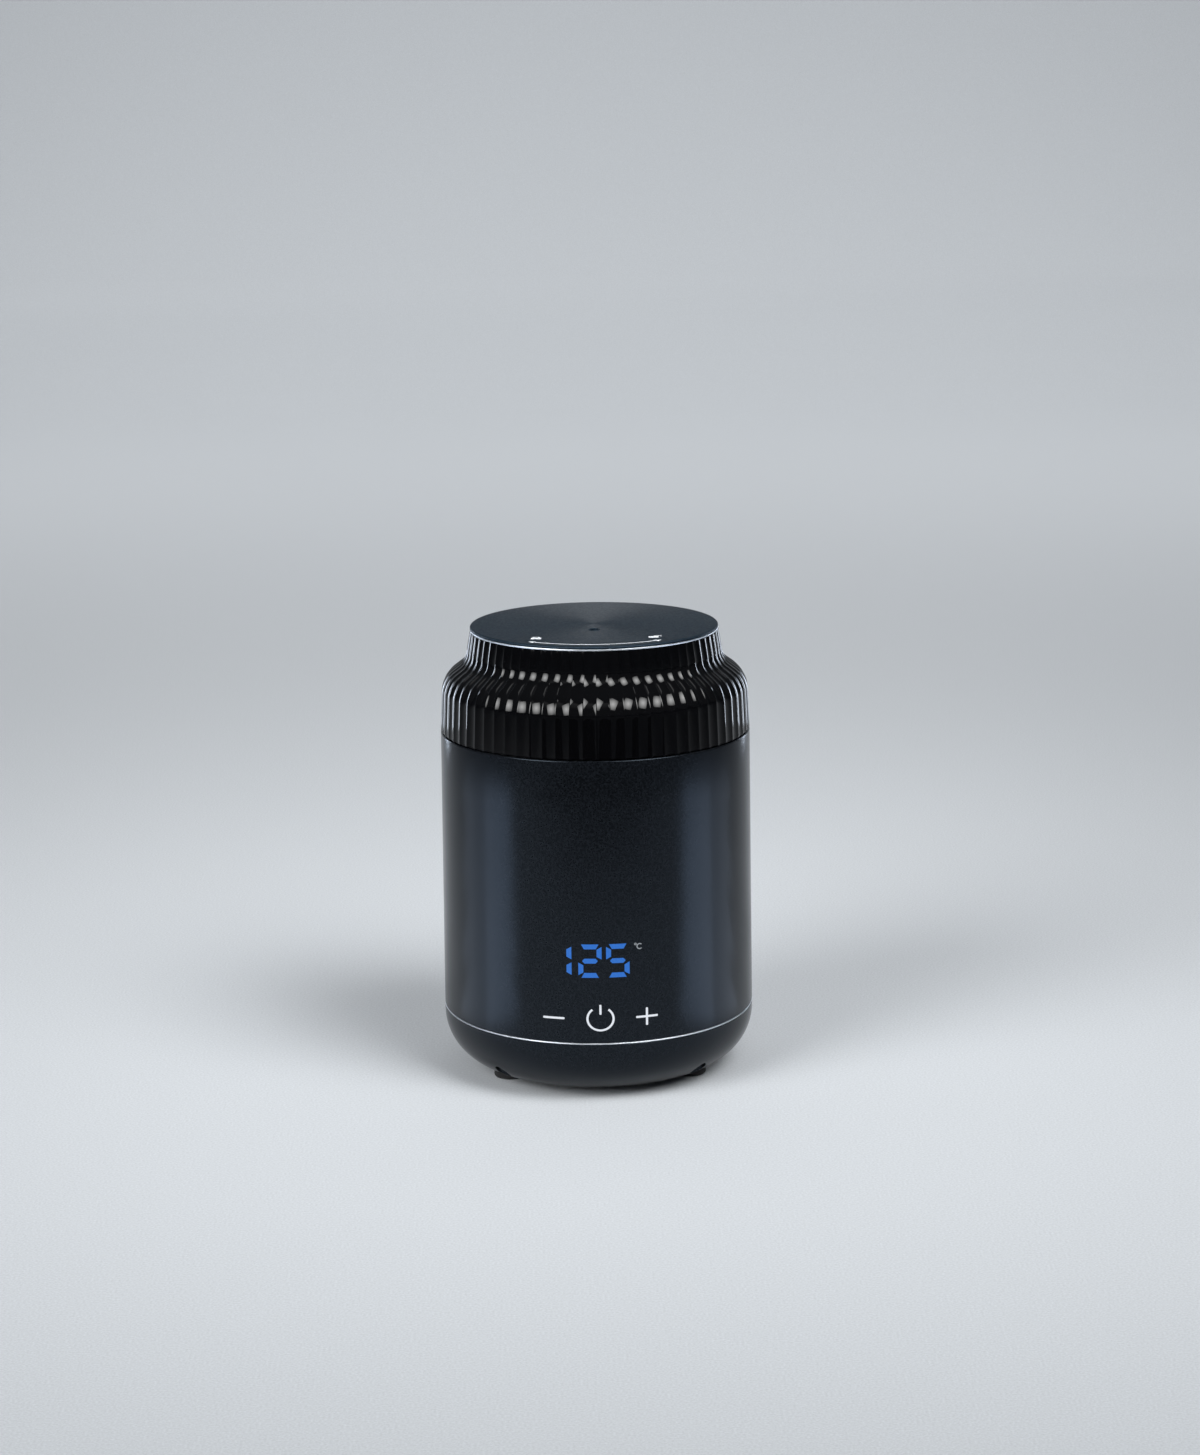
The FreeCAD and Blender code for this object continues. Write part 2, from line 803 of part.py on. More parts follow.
def display_boss_spots():
    reach = display_board_width / 2 - display_boss_inset
    rows = (display_board_bottom_z + display_boss_inset, display_board_top_z - display_boss_inset)
    return [point(side * reach, display_board_front_y, row) for side in (-1, 1) for row in rows]


def housing():
    """Drafted tube with screw posts, display bosses, hook pockets and the inlet's seat."""
    edge = housing_edge_round
    shell = turned(
        (housing_bore, housing_bottom_z),
        (housing_bottom_radius, housing_bottom_z),
        (housing_top_radius, housing_top_z - edge),
        corner_arc(housing_top_radius - edge, housing_top_z - edge, edge, 0, 90),
        (collar_seat_radius, housing_top_z),
        (collar_seat_radius, collar_ledge_z),
        (housing_bore, collar_ledge_z),
    )
    added = webbed_rods(post_radius, post_circle_radius, housing_bore + housing_wall / 2, housing_bottom_z,
                        housing_bottom_z + post_height, post_count, post_first_azimuth, post_web)
    for centre in display_boss_spots():
        boss = Part.makeCylinder(display_boss_radius, housing_bore + centre.y, centre, -axis_y)
        inside_wall = upright(housing_bore + housing_wall / 2, housing_bottom_z, housing_top_z, origin)
        added.append(boss.common(inside_wall))
    pad_width = inlet_plate_width + 2 * inlet_pad_wall
    pad_height = inlet_plate_height + 2 * inlet_pad_wall
    pad_depth = housing_bottom_radius - inlet_seat_y + inlet_pad_depth
    pad = block(pad_width, pad_depth, pad_height,
                0, housing_bottom_radius - pad_depth / 2, inlet_z - pad_height / 2)
    added.append(pad.common(outer_skin(housing_bottom_z, housing_top_z)))
    body = shell.fuse(added)
    tools = [upright(base_screw_radius, housing_bottom_z, housing_bottom_z + post_height - post_web, centre)
             for centre in post_spots()]
    for centre in display_boss_spots():
        tools.append(Part.makeCylinder(display_screw_radius, display_screw_bite, centre, -axis_y))
    pocket_z = collar_ledge_z - hook_length - seat_gap
    for azimuth in azimuths(hook_count, hook_first_azimuth):
        tools.append(sector(housing_bore - seat_gap, housing_bore + hook_barb + seat_gap, pocket_z,
                            pocket_z + hook_barb_height + 2 * seat_gap,
                            azimuth - hook_angle, azimuth + hook_angle))
    tools.append(rounded_plate(inlet_plate_width + 2 * push_gap, inlet_plate_height + 2 * push_gap,
                               inlet_corner_round, inlet_seat_y, inlet_plate_inset + inlet_plate_thickness,
                               inlet_z))
    tools.append(block(inlet_body_width + 2 * push_gap, 2 * inlet_body_depth,
                       inlet_body_height + 2 * push_gap,
                       0, inlet_seat_y, inlet_z - inlet_body_height / 2 - push_gap))
    tools.append(display_window())
    return body.cut(tools).removeSplitter()


def display_window():
    """Pocket that thins the front wall where the digits shine through."""
    half_angle = math.degrees(math.asin(led_width / 2 / housing_bore))
    centre = math.degrees(math.asin(led_offset / housing_bore))
    low = digit_z - led_height / 2
    return sector(housing_bore - seat_gap, housing_top_radius - window_wall, low, low + led_height,
                  centre - half_angle, centre + half_angle)


def trim_ring():
    """Thin bright hoop clamped between the base and the housing."""
    outer = housing_bottom_radius + trim_stand
    return ring(outer - trim_width, outer, base_top_z, housing_bottom_z)


def foot_spots():
    return [spot(foot_circle_radius, azimuth, 0) for azimuth in azimuths(foot_count, foot_first_azimuth)]


def power_boss_spots():
    reach_x = half_board - power_boss_inset
    reach_y = power_board_depth / 2 - power_boss_inset
    return [point(side_x * reach_x, side_y * reach_y, 0) for side_x in (-1, 1) for side_y in (-1, 1)]


def base_solid(inset):
    """Round-bottomed bowl, drawn in by an inset."""
    radius = housing_bottom_radius - inset
    low = base_bottom_z + inset
    round_radius = base_round - inset
    flat = radius - round_radius
    return turned(
        (0, low),
        (flat, low),
        corner_arc(flat, low + round_radius, round_radius, -90, 0),
        (radius, base_top_z),
        (0, base_top_z),
    )


def base_cover():
    """Bowl under the housing, with screw bosses, board bosses, foot seats and vents."""
    outside = base_solid(0)
    inside = base_solid(base_wall)
    added = webbed_rods(post_radius, post_circle_radius, housing_bottom_radius - base_wall / 2, base_bottom_z,
                        base_top_z, post_count, post_first_azimuth, post_web)
    for centre in power_boss_spots():
        added.append(upright(power_boss_radius, base_bottom_z, power_board_z, centre))
    added = [piece.common(outside) for piece in added]
    for centre in post_spots():
        added.append(upright(post_radius, base_top_z - post_web, housing_bottom_z, centre))
    body = outside.cut(inside).fuse(added)
    seat_z = base_screw_seat_z()
    tools = []
    for centre in post_spots():
        tools.append(upright(base_screw_head_radius + screw_hole_gap, base_bottom_z, seat_z, centre))
        tools.append(upright(base_screw_radius + screw_hole_gap, base_bottom_z, housing_bottom_z, centre))
    for centre in power_boss_spots():
        tools.append(upright(power_screw_radius, power_board_z - power_screw_bite, power_board_z, centre))
    for centre in foot_spots():
        tools.append(upright(foot_radius + push_gap, 0, base_bottom_z + foot_seat_depth, centre))
    for azimuth in azimuths(vent_count, 0):
        slot = block(vent_width, vent_length, 2 * base_wall,
                     0, -vent_circle_radius, base_bottom_z - base_wall / 2)
        slot.rotate(origin, axis_z, azimuth)
        tools.append(slot)
    return body.cut(tools).removeSplitter()


def base_screw_seat_z():
    return housing_bottom_z - base_screw_grip


def base_screws():
    return [headed_screw(centre, base_screw_seat_z(), base_screw_head_height, base_screw_head_radius,
                         base_screw_radius, base_screw_length, True) for centre in post_spots()]


def feet():
    """Soft feet with a round lower edge, glued in the base's seats."""
    pads = []
    for centre in foot_spots():
        pad = turned(
            (0, 0),
            (foot_radius - foot_round, 0),
            corner_arc(foot_radius - foot_round, foot_round, foot_round, -90, 0),
            (foot_radius, base_bottom_z + foot_seat_depth),
            (0, base_bottom_z + foot_seat_depth),
        )
        pad.translate(centre)
        pads.append(pad)
    return pads


def flute_ring(radius, z, slope):
    """Closed outline of concave flutes between ridges on a circle."""
    depth = flute_depth / math.cos(math.radians(slope))
    pitch = 360 / flute_count
    edges = []
    for azimuth in azimuths(flute_count, 0):
        edges.append(Part.Arc(
            spot(radius, azimuth - pitch / 2, z),
            spot(radius - depth, azimuth, z),
            spot(radius, azimuth + pitch / 2, z),
        ).toShape())
    return Part.Wire(edges)


def lid_outline():
    """Stations (radius, height, slope) up the lid, in three stretches."""
    angles = [shoulder_slope * index / arc_stations for index in range(arc_stations + 1)]
    skirt = [(housing_top_radius, lid_bottom_z, 0), (skirt_top_radius, skirt_top_z, 0)]
    shoulder = []
    for angle in angles:
        turn = math.radians(angle)
        shoulder.append((skirt_top_radius - shoulder_radius * (1 - math.cos(turn)),
                         skirt_top_z + shoulder_radius * math.sin(turn), angle))
    for angle in reversed(angles):
        turn = math.radians(angle)
        shoulder.append((neck_radius + hollow_radius * (1 - math.cos(turn)),
                         neck_z - hollow_radius * math.sin(turn), angle))
    neck = [(neck_radius, neck_z, 0), (neck_top_radius, neck_top_z, 0)]
    return skirt, shoulder, neck


def lid_shell():
    """Fluted cap with bayonet lugs inside its skirt and a hub for the liner."""
    skirt, shoulder, neck = lid_outline()
    solid = Part.makeLoft([flute_ring(*station) for station in skirt], True, True)
    solid = solid.fuse([
        Part.makeLoft([flute_ring(*station) for station in shoulder], True, False),
        Part.makeLoft([flute_ring(*station) for station in neck], True, True),
    ])
    inner_round = shoulder_radius - lid_wall
    inner_hollow = hollow_radius + lid_wall
    hollow_centre = neck_radius + hollow_radius
    cavity = turned(
        (0, lid_bottom_z - cut_overrun),
        (lid_bore, lid_bottom_z - cut_overrun),
        (lid_bore, skirt_top_z),
        corner_arc(lid_bore - inner_round, skirt_top_z, inner_round, 0, shoulder_slope),
        (hollow_centre - inner_hollow * slope_cosine, neck_z - inner_hollow * slope_sine),
        corner_arc(hollow_centre, neck_z, inner_hollow, 180 + shoulder_slope, 180),
        (neck_top_radius - lid_wall, roof_z),
        (0, roof_z),
    )
    lug_low = lug_top_z - lug_thickness
    lugs = [sector(upstand_radius + bayonet_gap, lid_bore + lid_wall / 2, lug_low, lug_top_z,
                   azimuth - lug_angle / 2, azimuth + lug_angle / 2)
            for azimuth in azimuths(bayonet_count, 0)]
    shoulder_z = liner_top_z + seat_gap
    hub = upright(hub_shoulder_radius, shoulder_z, roof_z + lid_roof / 2, origin)
    tip = upright(hub_radius, liner_z - hub_tip, shoulder_z + seat_gap, origin)
    vent = upright(vent_hole_radius, roof_z - cut_overrun, neck_top_z + cut_overrun, vent_spot())
    return solid.cut(cavity).fuse(lugs + [hub, tip]).cut(vent)


def vent_spot():
    return point(0, -vent_hole_offset, 0)


def lid_top_plate():
    """Flat disc over the neck, with a round edge and an eased vent hole."""
    edge = top_plate_round
    radius = neck_top_radius
    plate = turned(
        (0, neck_top_z),
        (radius, neck_top_z),
        (radius, lid_top_z - edge),
        corner_arc(radius - edge, lid_top_z - edge, edge, 0, 90),
        (0, lid_top_z),
    )
    hole = upright(vent_hole_radius, neck_top_z - cut_overrun, lid_top_z + cut_overrun, vent_spot())
    sink = Part.makeCone(vent_hole_radius, vent_hole_radius + vent_chamfer, vent_chamfer,
                         vent_spot() + axis_z * (lid_top_z - vent_chamfer), axis_z)
    return plate.cut([hole, sink])


def seal_radius():
    return liner_radius - liner_lip_width - push_gap


def lid_liner():
    """Disc that floats on the hub and carries the seal between two lips."""
    outer_lip = liner_radius - liner_lip_width
    inner_lip = seal_radius() - seal_width - push_gap
    plate = ring(hub_radius + running_gap, liner_radius, liner_z, liner_top_z)
    lips = [
        ring(outer_lip, liner_radius, liner_z - liner_lip_height, liner_top_z),
        ring(inner_lip - liner_lip_width, inner_lip, liner_z - liner_lip_height, liner_top_z),
    ]
    holes = [upright(liner_hole_radius, liner_z, liner_top_z, spot(liner_hole_circle_radius, azimuth, 0))
             for azimuth in azimuths(liner_hole_count, 0)]
    return plate.fuse(lips).cut(holes).removeSplitter()


def lid_seal():
    """Soft ring with a rounded foot that meets the pot's rim."""
    outer = seal_radius()
    inner = outer - seal_width
    middle = (outer + inner) / 2
    half = seal_width / 2
    return turned(
        (inner, liner_z),
        (inner, seal_z + half),
        corner_arc(middle, seal_z + half, half, 180, 360),
        (outer, liner_z),
    )


def liner_retainer():
    """Push-on washer that keeps the liner on the hub."""
    top = liner_z - seat_gap
    return ring(hub_radius, hub_radius + retainer_width, top - retainer_thickness, top)


def display_board():
    """Upright circuit board behind the front wall."""
    height = display_board_top_z - display_board_bottom_z
    board = block(display_board_width, board_thickness, height, 0,
                  (display_board_front_y + display_board_back_y) / 2, display_board_bottom_z)
    holes = [Part.makeCylinder(display_screw_radius + screw_hole_gap, board_thickness, centre, axis_y)
             for centre in display_boss_spots()]
    return board.cut(holes)


def display_board_screws():
    screws = []
    for centre in display_boss_spots():
        head = Part.makeCylinder(display_screw_head_radius, display_screw_head_height,
                                 point(centre.x, display_board_back_y, centre.z), axis_y)
        shank = Part.makeCylinder(display_screw_radius, board_thickness + display_screw_bite,
                                  point(centre.x, display_board_back_y, centre.z), -axis_y)
        screws.append(head.fuse(shank).removeSplitter())
    return screws


def led_display():
    """Digit module with a shallow window for each digit."""
    module = block(led_width, led_depth, led_height, led_offset, led_front_y + led_depth / 2,
                   digit_z - led_height / 2)
    pitch = (led_width - led_face_margin) / led_digit_count
    windows = []
    for index in range(led_digit_count):
        centre_x = led_offset + (index - (led_digit_count - 1) / 2) * pitch
        windows.append(block(pitch - led_face_margin, 2 * led_face_recess, led_height - 2 * led_face_margin,
                             centre_x, led_front_y, digit_z - led_height / 2 + led_face_margin))
    return module.cut(windows)


def display_baffle():
    """Dark frame that fits over the module and meets the curved wall."""
    depth = housing_bore + led_front_y + baffle_overlap
    rim = baffle_wall + push_gap
    outer = block(led_width + 2 * rim, depth, led_height + 2 * rim, led_offset,
                  led_front_y + baffle_overlap - depth / 2, digit_z - led_height / 2 - rim)
    inner = block(led_width + 2 * push_gap, 2 * depth, led_height + 2 * push_gap, led_offset,
                  led_front_y, digit_z - led_height / 2 - push_gap)
    reach = upright(housing_bore - push_gap, housing_bottom_z, housing_top_z, origin)
    return outer.cut(inner).common(reach)


def touch_plugs():
    """Tapered conductive plugs from the board to the wall behind each key."""
    plugs = []
    for azimuth in (-key_azimuth, 0, key_azimuth):
        place = spot(housing_bore, azimuth, key_z)
        outer_x = abs(place.x) + plug_tip_radius
        length = display_board_front_y + math.sqrt(housing_bore ** 2 - outer_x ** 2) - seat_gap
        foot = point(place.x, display_board_front_y, key_z)
        plate = Part.makeCylinder(plug_foot_radius, plug_foot_thickness, foot, -axis_y)
        plug = Part.makeCone(plug_radius, plug_tip_radius, length, foot, -axis_y)
        plugs.append(plug.fuse(plate).removeSplitter())
    return plugs


def controller_chip():
    height = display_board_top_z - display_board_bottom_z
    low = display_board_bottom_z + chip_height_share * height - chip_width / 2
    return block(chip_width, chip_thickness, chip_width, 0, display_board_back_y + chip_thickness / 2, low)


def power_board():
    board = block(power_board_width, power_board_depth, board_thickness, 0, 0, power_board_z)
    holes = [upright(power_screw_radius + screw_hole_gap, power_board_z, power_board_top_z, centre)
             for centre in power_boss_spots()]
    return board.cut(holes)


def power_board_screws():
    return [headed_screw(centre, power_board_top_z, power_screw_head_height, power_screw_head_radius,
                         power_screw_radius, board_thickness + power_screw_bite, False)
            for centre in power_boss_spots()]


def power_module():
    """Sealed supply block, left of the middle of the board."""
    centre_x = -(part_gap + module_width) / 2
    body = block(module_width, module_depth, module_height, centre_x, board_row_y + module_depth / 2,
                 power_board_top_z)
    return rounded_upright(body, module_edge_round)


def relay():
    centre_x = (part_gap + relay_width) / 2
    body = block(relay_width, relay_depth, relay_height, centre_x, board_row_y + relay_depth / 2,
                 power_board_top_z)
    return rounded_upright(body, relay_edge_round)


def terminal_place():
    """Middle of the terminal block's rear face, at wire height."""
    rear_y = board_row_y + relay_depth + part_gap + terminal_depth
    return point((part_gap + terminal_width) / 2, rear_y, power_board_top_z + terminal_height / 2)


def terminal_block():
    """Screw terminals, one hole on top for each way."""
    place = terminal_place()
    body = block(terminal_width, terminal_depth, terminal_height, place.x, place.y - terminal_depth / 2,
                 power_board_top_z)
    holes = []
    top = power_board_top_z + terminal_height
    for way in range(terminal_ways):
        centre = point(terminal_way_x(way), place.y - terminal_depth / 2, 0)
        holes.append(upright(terminal_screw_radius, top - terminal_screw_drop, top, centre))
    return body.cut(holes)


def terminal_way_x(way):
    pitch = terminal_width / terminal_ways
    return terminal_place().x + (way - (terminal_ways - 1) / 2) * pitch


def capacitor():
    """Round can with the rolled groove near its foot."""
    centre_y = board_row_y + relay_depth - capacitor_radius
    groove_z = power_board_top_z + capacitor_radius / 2
    edge = capacitor_edge_round
    top = power_board_top_z + capacitor_height
    can = turned(
        (0, power_board_top_z),
        (capacitor_radius, power_board_top_z),
        (capacitor_radius, groove_z - capacitor_groove),
        ((capacitor_radius - capacitor_groove, groove_z), (capacitor_radius, groove_z + capacitor_groove)),
        (capacitor_radius, top - edge),
        corner_arc(capacitor_radius - edge, top - edge, edge, 0, 90),
        (0, top),
    )
    can.translate(point(capacitor_x, centre_y, 0))
    return can


def pin_spots():
    return [point(side * pin_spacing / 2, 0, inlet_z) for side in (-1, 1)]


def mains_inlet():
    """Two-pole appliance inlet: plate, body and a round-ended mouth."""
    plate = rounded_plate(inlet_plate_width, inlet_plate_height, inlet_corner_round, inlet_seat_y,
                          inlet_plate_thickness, inlet_z)
    body = block(inlet_body_width, inlet_body_depth, inlet_body_height,
                 0, inlet_seat_y - inlet_body_depth / 2, inlet_z - inlet_body_height / 2)
    half = inlet_mouth_height / 2
    floor_y = inlet_face_y - inlet_mouth_depth
    reach = inlet_mouth_width / 2 - half
    mouth = [block(2 * reach, inlet_mouth_depth, inlet_mouth_height, 0, floor_y + inlet_mouth_depth / 2,
                   inlet_z - half)]
    for side in (-1, 1):
        end = point(side * reach, floor_y, inlet_z)
        mouth.append(Part.makeCylinder(half, inlet_mouth_depth, end, axis_y))
    holes = [Part.makeCylinder(pin_radius, inlet_body_depth, point(place.x, inlet_back_y, inlet_z), axis_y)
             for place in pin_spots()]
    return plate.fuse(body).cut(mouth + holes).removeSplitter()


def inlet_pins():
    """Round contact pins that end as tabs behind the inlet."""
    pins = []
    length = inlet_face_y - pin_setback - inlet_tab_y
    for place in pin_spots():
        pin = Part.makeCylinder(pin_radius, length, point(place.x, inlet_tab_y, inlet_z), axis_y)
        tip = [edge for edge in pin.Edges if edge.BoundBox.YMin > inlet_face_y - 2 * pin_setback]
        pins.append(pin.makeFillet(pin_radius / 2, tip))
    return pins


def mains_leads():
    """Two leads from the inlet's tabs down to the middle terminals."""
    place = terminal_place()
    middle_y = (inlet_tab_y + place.y) / 2
    leads = []
    for way, pin in enumerate(pin_spots(), 1):
        way_x = terminal_way_x(way)
        leads.append(lead([
            point(pin.x, inlet_tab_y, inlet_z),
            point(pin.x, middle_y, inlet_z),
            point(way_x, middle_y, place.z),
            point(way_x, place.y, place.z),
        ]))
    return leads


def heater_leads():
    """Two leads from the band, past the shield's notch and under the inlet, to the outer terminals."""
    place = terminal_place()
    turn_z = inlet_z - inlet_body_height / 2 - lead_inlet_gap
    leads = []
    for side, way in ((-1, 0), (1, terminal_ways - 1)):
        top = spot(band_outer_radius + band_terminal_depth / 2, 180 - side * band_terminal_azimuth,
                   band_bottom_z)
        way_x = terminal_way_x(way)
        leads.append(lead([
            top,
            point(top.x, top.y, turn_z),
            point(way_x, place.y + lead_approach, place.z),
            point(way_x, place.y, place.z),
        ]))
    return leads


def sensor_lead():
    """Lead from the thermistor down through the shield to the power board."""
    row, length = sensor_rows()[0]
    return lead([
        point(-length / 2, row, sensor_z),
        point(sensor_lead_x, row, sensor_z),
        point(sensor_lead_x, row, power_board_top_z),
    ])


def ribbon_cable():
    """Flat cable from the display board down to the power board."""
    high = display_board_bottom_z + ribbon_lift
    start_y = display_board_back_y
    end_y = board_row_y - board_front_strip / 2
    bend = (end_y - start_y) / 2

    def lane(offset):
        return [
            Part.makeLine(point(0, start_y, high + offset), point(0, end_y - bend, high + offset)),
            Part.Arc(point(0, end_y - bend, high + offset),
                     point(0, end_y - bend + (bend + offset) * math.sin(math.pi / 4),
                           high - bend + (bend + offset) * math.cos(math.pi / 4)),
                     point(0, end_y + offset, high - bend)).toShape(),
            Part.makeLine(point(0, end_y + offset, high - bend), point(0, end_y + offset, power_board_top_z)),
        ]

    upper = lane(ribbon_thickness / 2)
    lower = lane(-ribbon_thickness / 2)
    ends = [
        Part.makeLine(lower[0].Vertexes[0].Point, upper[0].Vertexes[0].Point),
        Part.makeLine(lower[2].Vertexes[1].Point, upper[2].Vertexes[1].Point),
    ]
    outline = Part.Wire(Part.sortEdges(upper + lower + ends)[0])
    strip = Part.Face(outline).extrude(axis_x * ribbon_width)
    strip.translate(point(-ribbon_width / 2, 0, 0))
    return strip


nodes = (
    lid_shell, lid_top_plate, lid_liner, lid_seal, liner_retainer,
    wax_pot, pot_base,
    housing, top_collar, trim_ring, base_cover, feet, base_screws,
    heater_well, well_gasket, well_screws, band_heater, band_clamp_screw, insulation_wrap,
    thermistor, thermal_fuse, sensor_clips, clip_screws,
    heat_shield, shield_standoffs, shield_nuts,
    display_board, display_board_screws, led_display, display_baffle, touch_plugs, controller_chip,
    power_board, power_board_screws, power_module, relay, capacitor, terminal_block,
    mains_inlet, inlet_pins, mains_leads, heater_leads, sensor_lead, ribbon_cable,
)

os.makedirs("parts", exist_ok=True)
for make in nodes:
    shape = make()
    if isinstance(shape, list):
        shape = Part.makeCompound(shape)
    shape.exportStep("parts/" + make.__name__ + ".step")
    print(make.__name__, len(shape.Solids), shape.isValid(), round(shape.Volume))
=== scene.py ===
"""Looks of a table-top wax heater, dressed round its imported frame.

Sizes in the classes are millimetres, and MM turns them into metres.
The frame has +Z up, the table at Z 0, the axis at X 0 and Y 0, and the front towards -Y.
Azimuths are degrees from the front, growing towards +X.
"""
import json
import logging
import math
from collections.abc import Callable, Iterable, Sequence
from dataclasses import dataclass, field
from enum import Enum

import bmesh
import bpy
from mathutils import Matrix, Vector


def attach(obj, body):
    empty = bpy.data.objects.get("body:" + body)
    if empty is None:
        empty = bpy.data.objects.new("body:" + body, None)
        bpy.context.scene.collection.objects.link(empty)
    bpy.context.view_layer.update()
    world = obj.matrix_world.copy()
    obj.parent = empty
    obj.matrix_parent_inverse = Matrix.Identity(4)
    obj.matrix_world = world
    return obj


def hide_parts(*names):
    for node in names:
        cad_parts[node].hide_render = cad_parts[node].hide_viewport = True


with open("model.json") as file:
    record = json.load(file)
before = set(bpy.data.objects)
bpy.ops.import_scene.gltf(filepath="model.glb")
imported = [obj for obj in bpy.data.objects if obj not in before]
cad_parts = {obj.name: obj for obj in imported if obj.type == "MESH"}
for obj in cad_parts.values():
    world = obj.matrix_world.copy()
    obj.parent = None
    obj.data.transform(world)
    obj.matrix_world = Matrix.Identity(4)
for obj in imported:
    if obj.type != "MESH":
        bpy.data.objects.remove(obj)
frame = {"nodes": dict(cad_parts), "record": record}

Outline = list[tuple[float, float]]
Node = bpy.types.Node
Socket = bpy.types.NodeSocket
Tree = bpy.types.NodeTree

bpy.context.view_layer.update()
MM = 0.001
# Points of a mesh that lie closer than this are merged.
MERGE = 0.001 * MM
# Steps in a full turn of a wide piece and of a small one.
WIDE_STEPS = 192
SMALL_STEPS = 48
# Degrees in one step of a curved strip.
STRIP_STEP = 5.0
# Degrees between faces above which an edge shows.
CREASE = 30.0
# Millimetres by which a cutting tool stands out of what it cuts.
CLEAR = 1.0
# Turns from the first of three like pieces to the other two.
THIRDS = (120, 240)
# Range in which nearly all of a pattern lies.
PATTERN_LOW = 0.3
PATTERN_HIGH = 0.7
UP = Vector((0, 0, 1))
FORWARD = Vector((0, -1, 0))
log = logging.getLogger("wax_heater")


class Body(Enum):
    """Bodies of the frame that a piece can ride on."""

    HEATER = "heater"
    POT = "pot"
    LINER = "liner"
    LID = "lid"


class Slot(Enum):
    """Material slots of the record."""

    LID_GLOSS = "lid_gloss"
    LID_PLATE = "lid_plate"
    SHELL_SATIN = "shell_satin"
    INNER_PLASTIC = "inner_plastic"
    BRIGHT_TRIM = "bright_trim"
    SOFT_BLACK = "soft_black"
    SILICONE = "silicone"
    POT_METAL = "pot_metal"
    STEEL = "steel"
    FELT = "felt"
    BOARD_GREEN = "board_green"
    COMPONENT_BLACK = "component_black"
    RELAY_BLUE = "relay_blue"
    TERMINAL_GREEN = "terminal_green"
    CAN_METAL = "can_metal"
    CONTACT_BRASS = "contact_brass"
    LEAD_JACKET = "lead_jacket"
    RIBBON_GREY = "ribbon_grey"


class Edge(Enum):
    """Side of a digit's bar that keeps its full length."""

    OUTER = "outer"
    BOTH = "both"


class Texture(Enum):
    """Kinds of pattern, by Blender's name for the node."""

    NOISE = "ShaderNodeTexNoise"
    CELLS = "ShaderNodeTexVoronoi"


class Effect(Enum):
    """What a pattern changes, by the shader's name for the input."""

    SHADE = "Base Color"
    GLOSS = "Roughness"
    RELIEF = "Normal"
    GLOW = "Emission Color"


def spot(radius: float, azimuth: float, z: float) -> Vector:
    """Point in metres at a radius, an azimuth and a height in millimetres."""
    angle = math.radians(azimuth)
    return Vector((radius * math.sin(angle), -radius * math.cos(angle), z)) * MM


def arc(centre: tuple[float, float], radius: float, start: float, end: float, steps: int) -> Outline:
    """Points of a round stretch in an outline.

    Args:
        centre: Middle of the arc as (radius, height).
        radius: Radius of the arc.
        start: First angle in degrees, 0 pointing outwards and 90 up.
        end: Last angle in degrees.
        steps: Number of chords.

    Returns:
        The points from the first angle to the last.
    """
    turns = [math.radians(start + (end - start) * step / steps) for step in range(steps + 1)]
    return [(centre[0] + radius * math.cos(turn), centre[1] + radius * math.sin(turn)) for turn in turns]


def ring(inner: float, outer: float, low: float, high: float, ease: float = 0.0) -> Outline:
    """Closed outline of a ring.

    Args:
        inner: Inner radius.
        outer: Outer radius.
        low: Height of the underside.
        high: Height of the top.
        ease: Size of the chamfers at the two outer corners.

    Returns:
        The points, with the first one again at the end.
    """
    corners = [(outer, low), (outer, high)]
    if ease:
        corners = [(outer - ease, low), (outer, low + ease), (outer, high - ease), (outer - ease, high)]
    return [(inner, low), *corners, (inner, high), (inner, low)]


def linear(colour: str) -> tuple[float, float, float, float]:
    """Turns a colour from sRGB to linear.

    Args:
        colour: Hex value, as #rrggbb.

    Returns:
        Linear red, green and blue, and an alpha of 1.
    """
    shares = [int(colour[place:place + 2], 16) / 255 for place in (1, 3, 5)]
    bent = [share / 12.92 if share <= 0.04045 else ((share + 0.055) / 1.055) ** 2.4 for share in shares]
    return (bent[0], bent[1], bent[2], 1.0)


def add(tree: Tree, kind: str, settings: dict | None = None, links: dict | None = None) -> Node:
    """Adds a node with its settings and links.

    Args:
        tree: Node tree that gets the node.
        kind: Blender's name for the kind of node.
        settings: Values by input, or by property where no input has that name.
        links: Output sockets by the input that they feed.

    Returns:
        The new node.
    """
    made = tree.nodes.new(kind)
    for key, value in (settings or {}).items():
        if isinstance(key, int) or key in made.inputs:
            made.inputs[key].default_value = value
        else:
            setattr(made, key, value)
    for key, source in (links or {}).items():
        tree.links.new(source, made.inputs[key])
    return made


@dataclass(frozen=True)
class Layer:
    """A pattern in a surface: its size in millimetres, what it changes and how it is drawn."""

    size: float
    effects: tuple[Effect, ...]
    settings: dict = field(default_factory=dict)
    texture: Texture = Texture.NOISE
    output: str = "Fac"

    def draw(self, tree: Tree, place: Socket) -> Socket:
        """Adds the pattern's texture, with one feature about as wide as the size.

        Args:
            tree: Node tree of the material.
            place: Coordinates that the pattern follows.

        Returns:
            The pattern from 0 to 1, which is the red share where the texture gives colours.
        """
        settings = {"Scale": 1 / (self.size * MM), **self.settings}
        pattern = add(tree, self.texture.value, settings, {"Vector": place}).outputs[self.output]
        if pattern.type != "RGBA":
            return pattern
        return add(tree, "ShaderNodeSeparateColor", links={"Color": pattern}).outputs["Red"]


